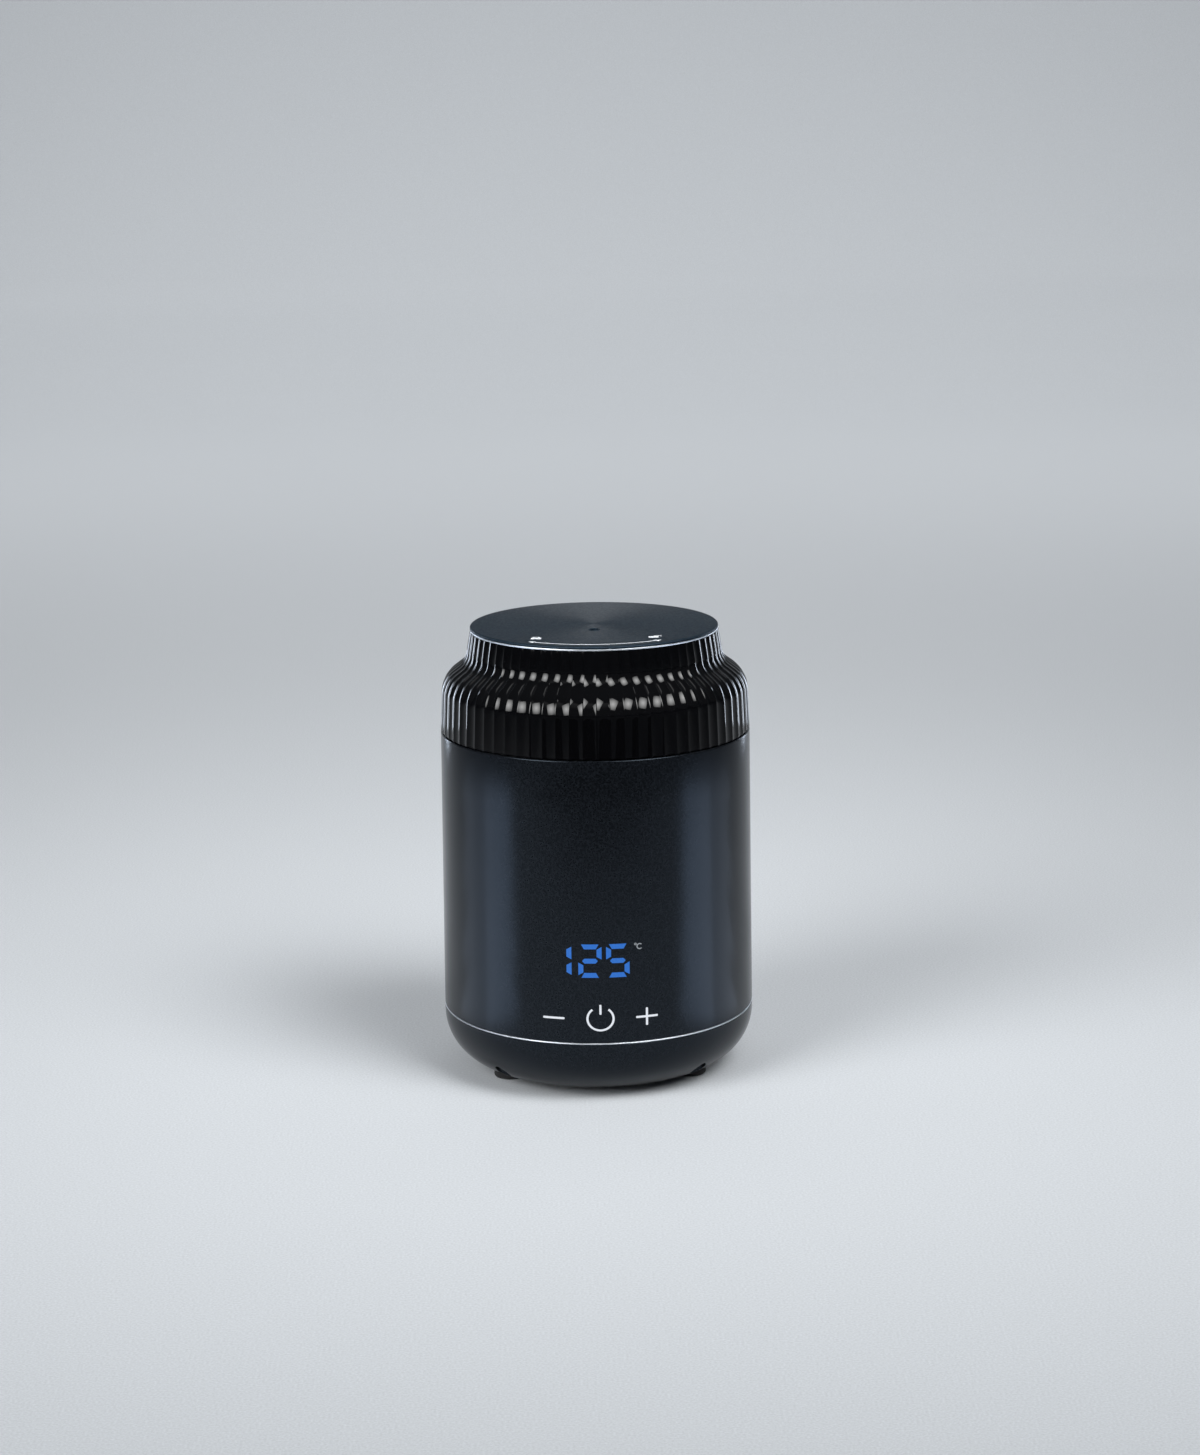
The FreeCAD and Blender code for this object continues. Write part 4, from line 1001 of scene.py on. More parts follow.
    def build_plate(self) -> None:
        """Turns the top plate over its bright edge, drills the vent and sets a bead round it."""
        radius = self.neck_top_radius
        inner = radius - self.edge_width
        edge_top = self.neck_top_z + self.edge_height
        bend = self.plate_round
        plate = Workpiece.turned("lid_plate", [
            (0, self.neck_top_z), (inner, self.neck_top_z), (inner, edge_top), (radius, edge_top),
            *arc((radius - bend, self.top_z - bend), bend, 0, 90, self.coarse_arc), (0, self.top_z),
        ])
        hole = spot(self.vent_offset, 0, 0)
        plate.cut(Workpiece.rod("vent_drill", self.vent_radius, self.neck_top_z - CLEAR, self.top_z + CLEAR,
                                hole))
        plate.mount(Body.LID, Slot.LID_PLATE, "lid_top_plate")
        edge = Workpiece.turned("plate_bright_edge",
                                ring(inner, radius, self.neck_top_z, edge_top, self.edge_ease))
        edge.mount(Body.LID, Slot.BRIGHT_TRIM, crease=50)
        middle = (self.vent_radius + self.bead_radius / 2, self.top_z - self.bead_radius / 3)
        bead = Workpiece.turned("vent_bead", arc(middle, self.bead_radius, -180, 180, self.round_arc),
                                SMALL_STEPS)
        bead.shift(hole)
        bead.mount(Body.LID, Slot.LID_PLATE, crease=60)

    def build_marks(self) -> None:
        """Prints the turning arc, with an arrowhead at each end and a lock sign beyond it."""
        middle = Vector((0, 0, (self.top_z + self.mark_lift) * MM))
        half = self.mark_width / 2
        marks = Workpiece.strip("lid_marks", middle, (self.mark_radius - half, self.mark_radius + half),
                                180 - self.mark_reach, 2 * self.mark_reach, UP)
        for side in (-1, 1):
            marks.add_in(self.arrowhead(side, middle), *self.lock_sign(side, middle))
        marks.modify("SOLIDIFY", thickness=self.mark_lift * MM, offset=-1.0)
        marks.open()
        marks.face_outwards()
        marks.mount(Body.LID, Slot.LID_PLATE, crease=0, finish=LID_INK)

    def arrowhead(self, side: int, middle: Vector) -> Workpiece:
        """A three-cornered head at one end of the arc.

        Args:
            side: -1 for the left end, 1 for the right.
            middle: Middle of the plate, at the height of the print.

        Returns:
            The flat head.
        """
        Workpiece.clear_bench()
        place = spot(self.mark_radius, side * (self.mark_reach + self.arrow_step), 0) + middle
        turn = math.radians(side * (self.mark_reach - 90))
        bpy.ops.mesh.primitive_circle_add(vertices=3, radius=self.arrow_radius * MM, fill_type="NGON",
                                          location=place, rotation=(0, 0, turn))
        head = Workpiece("arrowhead")
        head.settle()
        return head

    def lock_sign(self, side: int, middle: Vector) -> list[Workpiece]:
        """A small padlock beside one end of the arc, shut on the left and open on the right.

        Args:
            side: -1 for the left end, 1 for the right.
            middle: Middle of the plate, at the height of the print.

        Returns:
            The flat body and shackle.
        """
        place = spot(self.lock_radius, side * self.lock_reach, 0) + middle
        width, depth = self.lock_size
        Workpiece.clear_bench()
        bpy.ops.mesh.primitive_plane_add(size=1, location=place)
        body = Workpiece("lock_body")
        body.obj.scale = (width * MM, depth * MM, 1)
        body.settle()
        swing = self.shackle_radii[1] if side > 0 else 0.0
        top = place + Vector((swing, depth / 2, 0)) * MM
        shackle = Workpiece.strip("lock_shackle", top, self.shackle_radii, -90, 180, UP)
        return [body, shackle]

    def build_liner(self) -> None:
        """Turns the liner with its two lips, the seal between them and the washer under the hub."""
        bore, low, high, ease = self.liner_bore, self.liner_low, self.liner_high, self.liner_ease
        inner_lip = self.groove_inner - self.lip_wall
        outer_lip = self.groove_outer + self.lip_wall
        liner = Workpiece.turned("lid_liner_disc", [
            (bore, low), (inner_lip, low), (inner_lip, self.lip_low),
            (self.groove_inner, self.lip_low), (self.groove_inner, low),
            (self.groove_outer, low), (self.groove_outer, self.lip_low),
            (outer_lip, self.lip_low), (outer_lip, high - ease), (outer_lip - ease, high),
            (bore, high), (bore, low),
        ])
        for azimuth in (0, *THIRDS):
            liner.cut(Workpiece.rod("drain_hole", self.drain_radius, low - CLEAR, high + CLEAR,
                                    spot(self.drain_circle, azimuth, 0)))
        liner.mount(Body.LINER, Slot.INNER_PLASTIC, "lid_liner")
        inner = self.groove_inner + self.seal_gap
        outer = self.groove_outer - self.seal_gap
        bend = (outer - inner) / 2
        tip = (inner + bend, self.seal_tip + bend)
        seal = Workpiece.turned("lid_seal_ring", [
            (inner, low), (outer, low), *arc(tip, bend, 0, -180, self.round_arc), (inner, low),
        ])
        seal.mount(Body.LINER, Slot.SILICONE, "lid_seal", crease=40)
        bore, rim, ease = self.hub_tip_radius, self.washer_radius, self.rim_ease
        washer = Workpiece.turned("liner_washer", [
            (bore, self.washer_low), (rim - ease, self.washer_low), (rim, self.washer_low + ease),
            (rim, self.washer_high), (bore, self.washer_high), (bore, self.washer_low),
        ], self.washer_steps)
        washer.mount(Body.LID, Slot.STEEL, "liner_retainer")

    def build(self) -> None:
        """Builds the whole lid."""
        self.build_cap()
        self.build_plate()
        self.build_marks()
        self.build_liner()


@dataclass
class Pot:
    """Lift-out wax pot, and the well and collar that hold it."""

    floor_z: float = 71.15
    radius: float = 43.7
    wall: float = 1.2
    corner: float = 6.0
    rim_radius: float = 49.5
    rim_low: float = 134.3
    rim_high: float = 135.8
    ease: float = 0.2
    well_floor_z: float = 68.25
    well_radius: float = 46.1
    well_bore: float = 44.3
    well_corner: float = 5.0
    well_floor: float = 2.5
    flange_radius: float = 52.3
    flange_low: float = 122.2
    flange_high: float = 124.0
    collar_low: float = 124.5
    collar_step_z: float = 128.5
    collar_radius: float = 55.9
    ledge_bore: float = 47.0
    upstand_inner: float = 49.9
    upstand_outer: float = 51.9
    upstand_top: float = 137.0
    ramp_radii: tuple[float, float] = (50.9, 54.05)
    ramp_heights: tuple[float, float] = (132.6, 134.8)
    ramp_start: float = -62.0
    ramp_sweep: float = 48.0
    ramp_steps: int = 24
    stop_heights: tuple[float, float] = (127.5, 133.7)
    stop_start: float = -43.0
    stop_sweep: float = 4.0
    stop_steps: int = 4
    corner_arc: int = 8

    def build_pot(self) -> None:
        """Turns the cup with its round floor and its folded rim."""
        ease = self.ease
        bore = self.radius - self.wall
        centre = (self.radius - self.corner, self.floor_z + self.corner)
        pot = Workpiece.turned("pot_cup", [
            (0, self.floor_z), *arc(centre, self.corner, -90, 0, self.corner_arc),
            (self.radius, self.rim_low - ease), (self.radius + ease, self.rim_low),
            (self.rim_radius - ease, self.rim_low), (self.rim_radius, self.rim_low + ease),
            (self.rim_radius, self.rim_high - ease), (self.rim_radius - ease, self.rim_high),
            (bore + 2 * ease, self.rim_high), (bore, self.rim_high - 2 * ease),
            *arc(centre, self.corner - self.wall, 0, -90, self.corner_arc), (0, self.floor_z + self.wall),
        ])
        pot.mount(Body.POT, Slot.POT_METAL, "wax_pot", "pot_base")

    def build_well(self) -> None:
        """Turns the heated well with the flange that it hangs by."""
        corner = self.well_corner
        inner_corner = corner - (self.well_radius - self.well_bore)
        inner_floor = self.well_floor_z + self.well_floor
        centre = (self.well_radius - corner, self.well_floor_z + corner)
        inner_centre = (self.well_bore - inner_corner, inner_floor + inner_corner)
        well = Workpiece.turned("well_cup", [
            (0, self.well_floor_z), *arc(centre, corner, -90, 0, self.corner_arc),
            (self.well_radius, self.flange_low), (self.flange_radius, self.flange_low),
            (self.flange_radius, self.flange_high), (self.well_bore, self.flange_high),
            *arc(inner_centre, inner_corner, 0, -90, self.corner_arc), (0, inner_floor),
        ])
        well.mount(Body.HEATER, Slot.POT_METAL, "heater_well")

    def build_collar(self) -> None:
        """Turns the collar, with the ledge for the pot and the ramps and stops for the lid."""
        ease = self.ease
        collar = Workpiece.turned("collar_ring", [
            (self.well_bore, self.collar_low), (self.collar_radius, self.collar_low),
            (self.collar_radius, self.collar_step_z), (self.upstand_outer, self.collar_step_z),
            (self.upstand_outer, self.upstand_top - ease), (self.upstand_outer - ease, self.upstand_top),
            (self.upstand_inner + ease, self.upstand_top), (self.upstand_inner, self.upstand_top - ease),
            (self.upstand_inner, self.rim_low), (self.ledge_bore, self.rim_low),
            (self.ledge_bore, self.collar_step_z), (self.well_bore, self.collar_step_z),
            (self.well_bore, self.collar_low),
        ])
        ramp = Workpiece.turned("collar_ramp", ring(*self.ramp_radii, *self.ramp_heights, ease),
                                self.ramp_steps, self.ramp_start, self.ramp_sweep)
        stop = Workpiece.turned("collar_stop", ring(*self.ramp_radii, *self.stop_heights),
                                self.stop_steps, self.stop_start, self.stop_sweep)
        collar.add_in(ramp, *ramp.copies_round(THIRDS), stop, *stop.copies_round(THIRDS))
        collar.mount(Body.HEATER, Slot.INNER_PLASTIC, "top_collar")

    def build(self) -> None:
        """Builds the pot, the well and the collar."""
        self.build_pot()
        self.build_well()
        self.build_collar()


@dataclass
class Shell:
    """Housing, mains inlet, seam hoop, base and feet."""

    bottom_radius: float = 58.0
    top_radius: float = 57.3
    bottom_z: float = 24.35
    top_z: float = 128.5
    bore: float = 55.0
    seat_bore: float = 56.0
    seat_z: float = 124.5
    top_round: float = 0.5
    seam_ease: float = 0.15
    wall_rows: int = 6
    inlet_z: float = 38.25
    inlet_pad: tuple[float, float, float] = (32.0, 6.0, 22.0)
    inlet_pad_y: float = 53.4
    inlet_plate: tuple[float, float, float] = (26.0, 1.6, 16.0)
    inlet_face_y: float = 56.1
    inlet_body: tuple[float, float, float] = (20.0, 16.5, 12.0)
    inlet_mouth: tuple[float, float, float] = (14.8, 14.0, 7.6)
    inlet_mouth_depth: float = 12.0
    inlet_corner: float = 2.0
    inlet_gap: float = 0.1
    inlet_ease: float = 0.25
    inlet_crease: float = 40.0
    inlet_slack: float = 0.01
    corner_arc: int = 8
    ease_arc: int = 5
    base_low: float = 2.2
    base_top: float = 23.65
    base_round: float = 19.5
    base_wall: float = 2.4
    bowl_arc: int = 20
    bowl_inner_arc: int = 12
    vent_slot: tuple[float, float, float] = (2.2, 12.0, 8.0)
    vent_circle: float = 16.0
    vent_count: int = 10
    screw_hole: float = 2.95
    screw_hole_top: float = 16.35
    screw_circle: float = 50.7
    screw_azimuths: tuple[float, ...] = (45, 135, 225, 315)
    hoop_stand: float = 0.05
    hoop_width: float = 2.2
    hoop_gap: float = 0.08
    hoop_ease: float = 0.15
    foot_radius: float = 6.0
    foot_round: float = 0.9
    foot_top: float = 3.65
    foot_circle: float = 38.8
    foot_azimuths: tuple[float, ...] = (60, 180, 300)
    foot_hollow: float = 3.2
    foot_dish: float = 0.2
    foot_gap: float = 0.05

    def build_housing(self) -> Workpiece:
        """Turns the drafted tube and sinks the inlet's pocket into its rear.

        Returns:
            The housing, on which the lit signs are laid.
        """
        low = self.bottom_z + self.seam_ease
        high = self.top_z - self.top_round
        shares = [row / self.wall_rows for row in range(self.wall_rows)]
        draft = self.bottom_radius - self.top_radius
        wall = [(self.bottom_radius - draft * share, low + (high - low) * share) for share in shares]
        housing = Workpiece.turned("housing_tube", [
            (self.bore, self.bottom_z), (self.bottom_radius - self.seam_ease, self.bottom_z), *wall,
            *arc((self.top_radius - self.top_round, high), self.top_round, 0, 90, self.ease_arc),
            (self.seat_bore, self.top_z), (self.seat_bore, self.seat_z), (self.bore, self.seat_z),
            (self.bore, self.bottom_z),
        ])
        place = (0, self.inlet_pad_y, self.inlet_z)
        housing.fuse(Workpiece.block("inlet_pad", self.inlet_pad, place))
        gap = 2 * self.inlet_gap
        width, depth, height = self.inlet_plate
        # The pocket's tool runs from the plate's rear face out past the wall.
        pocket = self.soft_block("inlet_pocket", (width + gap, 5 * depth, height + gap),
                                 (0, self.inlet_face_y + 1.5 * depth, self.inlet_z), self.inlet_corner)
        width, depth, height = self.inlet_body
        hole = Workpiece.block("inlet_hole", (width + gap, 2 * depth, height + gap), place)
        housing.cut(pocket, hole)
        housing.mount(Body.HEATER, Slot.SHELL_SATIN, "housing")
        return housing

    def soft_block(self, name: str, size: Sequence[float], centre: Sequence[float],
                   corner: float) -> Workpiece:
        """A box whose edges along Y are rounded.

        Args:
            name: Name of the piece.
            size: Size along X, Y and Z.
            centre: Middle of the box.
            corner: Radius of the rounded edges.

        Returns:
            The box.
        """
        piece = Workpiece.block(name, size, centre)
        piece.open()
        piece.pick(lambda one, two: abs(one.y - two.y) > size[1] * MM / 2, edges=True)
        bpy.ops.mesh.bevel(offset=corner * MM, segments=self.corner_arc, affect="EDGES")
        piece.face_outwards()
        return piece

    def build_inlet(self) -> None:
        """Shapes the mains inlet: plate, body and round-ended mouth."""
        plate_depth = self.inlet_plate[1]
        inlet = self.soft_block("inlet_body", self.inlet_plate,
                                (0, self.inlet_face_y - plate_depth / 2, self.inlet_z), self.inlet_corner)
        inlet.modify("BEVEL", width=self.inlet_ease * MM, segments=2, limit_method="ANGLE",
                     angle_limit=math.radians(self.inlet_crease))
        rear_y = self.inlet_face_y - plate_depth - self.inlet_body[1] / 2
        inlet.fuse(Workpiece.block("inlet_rear", self.inlet_body, (0, rear_y, self.inlet_z)))
        mouth_y = self.inlet_face_y - self.inlet_mouth_depth + self.inlet_mouth[1] / 2
        inlet.cut(self.soft_block("inlet_mouth", self.inlet_mouth, (0, mouth_y, self.inlet_z),
                                  self.inlet_mouth[2] / 2 - self.inlet_slack))
        inlet.mount(Body.HEATER, Slot.COMPONENT_BLACK, "mains_inlet")

    def build_base(self) -> None:
        """Turns the round-bottomed base and cuts its vents, screw holes and foot seats."""
        radius, ease = self.bottom_radius, self.seam_ease
        centre = (radius - self.base_round, self.base_low + self.base_round)
        inner = self.base_round - self.base_wall
        base = Workpiece.turned("base_bowl", [
            (0, self.base_low), *arc(centre, self.base_round, -90, 0, self.bowl_arc),
            (radius, self.base_top - ease), (radius - ease, self.base_top),
            (radius - self.base_wall, self.base_top), *arc(centre, inner, 0, -90, self.bowl_inner_arc),
            (0, self.base_low + self.base_wall),
        ])
        slot = Workpiece.block("vent_slot", self.vent_slot, (0, -self.vent_circle, self.base_low))
        pitch = 360 / self.vent_count
        tools = [slot, *slot.copies_round(pitch * step for step in range(1, self.vent_count))]
        for azimuth in self.screw_azimuths:
            tools.append(Workpiece.rod("screw_hole", self.screw_hole, 0, self.screw_hole_top,
                                       spot(self.screw_circle, azimuth, 0)))
        for azimuth in self.foot_azimuths:
            tools.append(Workpiece.rod("foot_seat", self.foot_radius + self.foot_gap, -CLEAR, self.foot_top,
                                       spot(self.foot_circle, azimuth, 0)))
        base.cut(*tools)
        base.mount(Body.HEATER, Slot.SHELL_SATIN, "base_cover")

    def build_hoop(self) -> None:
        """Turns the bright hoop in the lower seam."""
        outer = self.bottom_radius + self.hoop_stand
        low = self.base_top + self.hoop_gap
        high = self.bottom_z - self.hoop_gap
        hoop = Workpiece.turned("seam_hoop", ring(outer - self.hoop_width, outer, low, high, self.hoop_ease))
        hoop.mount(Body.HEATER, Slot.BRIGHT_TRIM, "trim_ring", crease=50)

    def build_feet(self) -> None:
        """Turns one foot, moves it to its place and copies it round."""
        tread = self.foot_radius - self.foot_round
        dish = self.foot_dish
        foot = Workpiece.turned("rubber_feet", [
            (0, dish), (self.foot_hollow, dish), (self.foot_hollow + 2 * dish, 0), (tread, 0),
            *arc((tread, self.foot_round), self.foot_round, -90, 0, self.ease_arc),
            (self.foot_radius, self.foot_top), (0, self.foot_top),
        ], SMALL_STEPS)
        foot.shift(spot(self.foot_circle, self.foot_azimuths[0], 0))
        foot.add_in(*foot.copies_round(THIRDS))
        foot.mount(Body.HEATER, Slot.SOFT_BLACK, "feet", crease=35)

    def build(self) -> Workpiece:
        """Builds the whole shell.

        Returns:
            The housing.
        """
        housing = self.build_housing()
        self.build_inlet()
        self.build_base()
        self.build_hoop()
        self.build_feet()
        return housing


@dataclass
class FrontSigns:
    """Lit digits, unit and touch signs, laid flush on the housing's front."""

    wall_radius: float = 57.8
    lift: float = 0.03
    digit_z: float = 55.15
    digit_height: float = 12.4
    digit_width: float = 8.4
    bar_width: float = 1.8
    level_bar: float = 6.25
    upright_bar: float = 4.65
    middle_bar: float = 5.4
    bar_taper: float = 1.0
    point_share: float = 0.4
    upright_rise: float = 2.9
    digit_azimuths: tuple[float, ...] = (-14.39, -3.5, 6.44)
    digit_bars: tuple[str, ...] = ("bc", "abged", "afgcd")
    unit_azimuth: float = 14.4
    unit_z: float = 60.0
    unit_radii: tuple[float, float] = (0.75, 1.12)
    unit_gap: float = 45.0
    unit_ring_radii: tuple[float, float] = (0.2, 0.45)
    unit_ring_step: tuple[float, float] = (-1.5, 0.9)
    key_z: float = 33.55
    key_azimuth: float = 16.9
    stroke: float = 0.78
    stroke_ease: float = 0.35
    stroke_arc: int = 3
    minus_length: float = 7.7
    plus_size: tuple[float, float] = (7.9, 6.6)
    power_radius: float = 5.1
    power_squash: float = 0.92
    power_gap: float = 38.0
    power_bar: float = 3.7
    power_bar_rise: float = 3.4

    def flat_bar(self, name: str, length: float, width: float) -> Workpiece:
        """A flat oblong at the origin, level and facing the front.

        Args:
            name: Name of the piece.
            length: Its size along X.
            width: Its size along Z.

        Returns:
            The oblong.
        """
        Workpiece.clear_bench()
        bpy.ops.mesh.primitive_plane_add(size=1, rotation=(math.pi / 2, 0, 0))
        piece = Workpiece(name)
        piece.obj.scale = (length * MM, width * MM, 1)
        piece.settle()
        return piece

    def digit_bar(self, length: float, keep: Edge) -> Workpiece:
        """One bar of a digit, flat and level at the origin, with its outer edge up.

        Args:
            length: Length of its longer edge.
            keep: Edge that keeps the full length, or both for the pointed middle bar.

        Returns:
            The bar, facing the front.
        """
        piece = self.flat_bar("digit_bar", length, self.bar_width)
        piece.open()
        if keep is Edge.OUTER:
            piece.pick(lambda place: place.z < 0)
            shorter = (length - 2 * self.bar_taper) / length
            bpy.ops.transform.resize(value=(shorter, 1, 1), center_override=(0, 0, 0))
        else:
            bpy.ops.mesh.bevel(offset=self.point_share * self.bar_width * MM, offset_type="OFFSET",
                               segments=1, affect="VERTICES")
        piece.close()
        return piece

    def place_bar(self, piece: Workpiece, turn: float, x: float, z: float) -> None:
        """Turns a flat bar in its plane and moves it from the origin.

        Args:
            piece: The bar.
            turn: Degrees of the turn.
            x: Step to the right.
            z: Step upwards.
        """
        piece.open()
        bpy.ops.transform.rotate(value=-math.radians(turn), orient_axis="Y", center_override=(0, 0, 0))
        bpy.ops.transform.translate(value=Vector((x, 0, z)) * MM)
        piece.close()

    def digit(self, letters: str, azimuth: float) -> Workpiece:
        """A digit of seven bars, in a plane before the housing.

        Args:
            letters: Bars that are lit, a to g as is usual.
            azimuth: Place of the digit's middle.

        Returns:
            The flat digit.
        """
        right = (self.digit_width - self.bar_width) / 2
        top = (self.digit_height - self.bar_width) / 2
        rise = self.upright_rise
        layout = {
            "a": (self.level_bar, Edge.OUTER, 0, 0, top),
            "b": (self.upright_bar, Edge.OUTER, 90, right, rise),
            "c": (self.upright_bar, Edge.OUTER, 90, right, -rise),
            "d": (self.level_bar, Edge.OUTER, 180, 0, -top),
            "e": (self.upright_bar, Edge.OUTER, -90, -right, -rise),
            "f": (self.upright_bar, Edge.OUTER, -90, -right, rise),
            "g": (self.middle_bar, Edge.BOTH, 0, 0, 0),
        }
        centre = spot(self.wall_radius, azimuth, self.digit_z) / MM
        bars = []
        for letter in letters:
            length, keep, turn, x, z = layout[letter]
            piece = self.digit_bar(length, keep)
            self.place_bar(piece, turn, centre.x + x, centre.z + z)
            bars.append(piece)
        bars[0].add_in(*bars[1:])
        return bars[0]

    def stroke_bar(self, length: float, turn: float, x: float, z: float) -> Workpiece:
        """A straight stroke of a sign with eased corners.

        Args:
            length: Length of the stroke.
            turn: Degrees from level.
            x: Place of its middle to the right.
            z: Height of its middle.

        Returns:
            The flat stroke.
        """
        piece = self.flat_bar("sign_stroke", length, self.stroke)
        piece.open()
        bpy.ops.mesh.bevel(offset=self.stroke * self.stroke_ease * MM, segments=self.stroke_arc,
                           affect="VERTICES")
        piece.close()
        self.place_bar(piece, turn, x, z)
        return piece

    def lay(self, piece: Workpiece, housing: Workpiece, name: str, finish: Finish) -> None:
        """Lays a flat sign on the housing's wall.

        Args:
            piece: The flat sign.
            housing: Housing that it is laid on.
            name: Name of the finished piece.
            finish: Its surface.
        """
        piece.obj.name = name
        piece.obj.data.name = name
        piece.open()
        bpy.ops.transform.translate(value=(0, -2 * self.wall_radius * MM, 0))
        # Cuts a millimetre apart let the sign bend round the wall.
        reach = int(max(abs(corner[0]) for corner in piece.obj.bound_box) / MM) + 1
        for step in range(-reach, reach + 1):
            bpy.ops.mesh.select_all(action="SELECT")
            bpy.ops.mesh.bisect(plane_co=(step * MM, 0, 0), plane_no=(1, 0, 0))
        piece.close()
        piece.modify("SHRINKWRAP", target=housing.obj, wrap_method="PROJECT", use_project_y=True,
                     use_positive_direction=True, use_negative_direction=False, offset=0.0)
        piece.shift((0, -self.lift * MM, 0))
        piece.open()
        piece.face_outwards()
        piece.modify("SOLIDIFY", thickness=2 * self.lift * MM, offset=0.0)
        piece.open()
        piece.face_outwards()
        piece.mount(Body.HEATER, Slot.SHELL_SATIN, crease=0, finish=finish)

    def unit(self) -> Workpiece:
        """The degree ring and the letter after the digits.

        Returns:
            The flat sign.
        """
        middle = Vector((spot(self.wall_radius, self.unit_azimuth, 0).x, 0, self.unit_z * MM))
        letter = Workpiece.strip("unit_letter", middle, self.unit_radii, 90 + self.unit_gap,
                                 360 - 2 * self.unit_gap, FORWARD)
        x, z = self.unit_ring_step
        corner = middle + Vector((x, 0, z)) * MM
        letter.add_in(Workpiece.strip("unit_ring", corner, self.unit_ring_radii, 0, 360, FORWARD))
        return letter

    def power_sign(self) -> Workpiece:
        """The open ring and the bar in its gap, a little wider than tall.

        Returns:
            The flat sign.
        """
        middle = Vector((0, 0, self.key_z * MM))
        radii = (self.power_radius - self.stroke, self.power_radius)
        power = Workpiece.strip("power_ring", middle, radii, self.power_gap, 360 - 2 * self.power_gap,
                                FORWARD)
        power.open()
        bpy.ops.transform.resize(value=(1, 1, self.power_squash), center_override=middle)
        power.close()
        power.add_in(self.stroke_bar(self.power_bar, 90, 0, self.key_z + self.power_bar_rise))
        return power

    def build(self, housing: Workpiece) -> None:
        """Builds every sign and lays it on the housing.

        Args:
            housing: Housing that the signs are laid on.
        """
        for index, (letters, azimuth) in enumerate(zip(self.digit_bars, self.digit_azimuths), 1):
            self.lay(self.digit(letters, azimuth), housing, f"lit_digit_{index}", DIGIT_LIGHT)
        self.lay(self.unit(), housing, "lit_unit", UNIT_LIGHT)
        side = spot(self.wall_radius, self.key_azimuth, 0).x / MM
        minus = self.stroke_bar(self.minus_length, 0, -side, self.key_z)
        self.lay(minus, housing, "sign_minus", SIGN_LIGHT)
        width, height = self.plus_size
        plus = self.stroke_bar(width, 0, side, self.key_z)
        plus.add_in(self.stroke_bar(height, 90, side, self.key_z))
        self.lay(plus, housing, "sign_plus", SIGN_LIGHT)
        self.lay(self.power_sign(), housing, "sign_power", SIGN_LIGHT)


@dataclass(frozen=True)
class SoftBox:
    """A soft box, hung round a point that it faces. Its sizes and places are metres."""

    name: str
    azimuth: float
    elevation: float
    distance: float
    size: tuple[float, float]
    power: float
    aim: tuple[float, float, float] = (0.0, 0.0, 0.09)
    beam: float = 180.0
    colour: str = "#ffffff"

    def hang(self) -> None:
        """Adds the lamp where its azimuth, elevation and distance put it."""
        Workpiece.clear_bench()
        rise = math.radians(self.elevation)
        away = spot(math.cos(rise), self.azimuth, math.sin(rise)) / MM * self.distance
        bpy.ops.object.light_add(type="AREA", location=Vector(self.aim) + away)
        lamp = bpy.context.view_layer.objects.active
        lamp.name = self.name
        lamp.rotation_euler = away.to_track_quat("Z", "Y").to_euler()
        lamp.visible_camera = False
        lamp.data.shape = "RECTANGLE"
        lamp.data.size = self.size[0]
        lamp.data.size_y = self.size[1]
        lamp.data.energy = self.power
        lamp.data.color = linear(self.colour)[:3]
        lamp.data.spread = math.radians(self.beam)


@dataclass(frozen=True)
class FloorFan:
    """Panels of light in a fan on the floor at one side, which the wall shows as a straight strip.

    The sizes are metres, and the slopes are how far the two edges run back for each step sideways.
    """

    name: str
    side: int
    front_slope: float
    rear_slope: float
    flux: float
    steps: tuple[float, ...] = (0.12, 0.19, 0.3, 0.45, 0.66)
    start: float = -0.04
    height: float = 0.002
    throw: float = 1.0
    colour: str = "#d8e8ff"

    def hang(self) -> None:
        """Adds the panels, each as deep as the fan is at its distance from the axis."""
        for number, (near, far) in enumerate(zip(self.steps, self.steps[1:])):
            middle = (near + far) / 2
            front = self.start + middle * self.front_slope
            rear = self.start + middle * self.rear_slope
            size = (far - near, rear - front)
            aim = (self.side * middle, (front + rear) / 2, self.height + self.throw)
            power = self.flux * size[0] * size[1]
            panel = SoftBox(f"{self.name}_{number}", 0, -90, self.throw, size, power, aim, colour=self.colour)
            panel.hang()


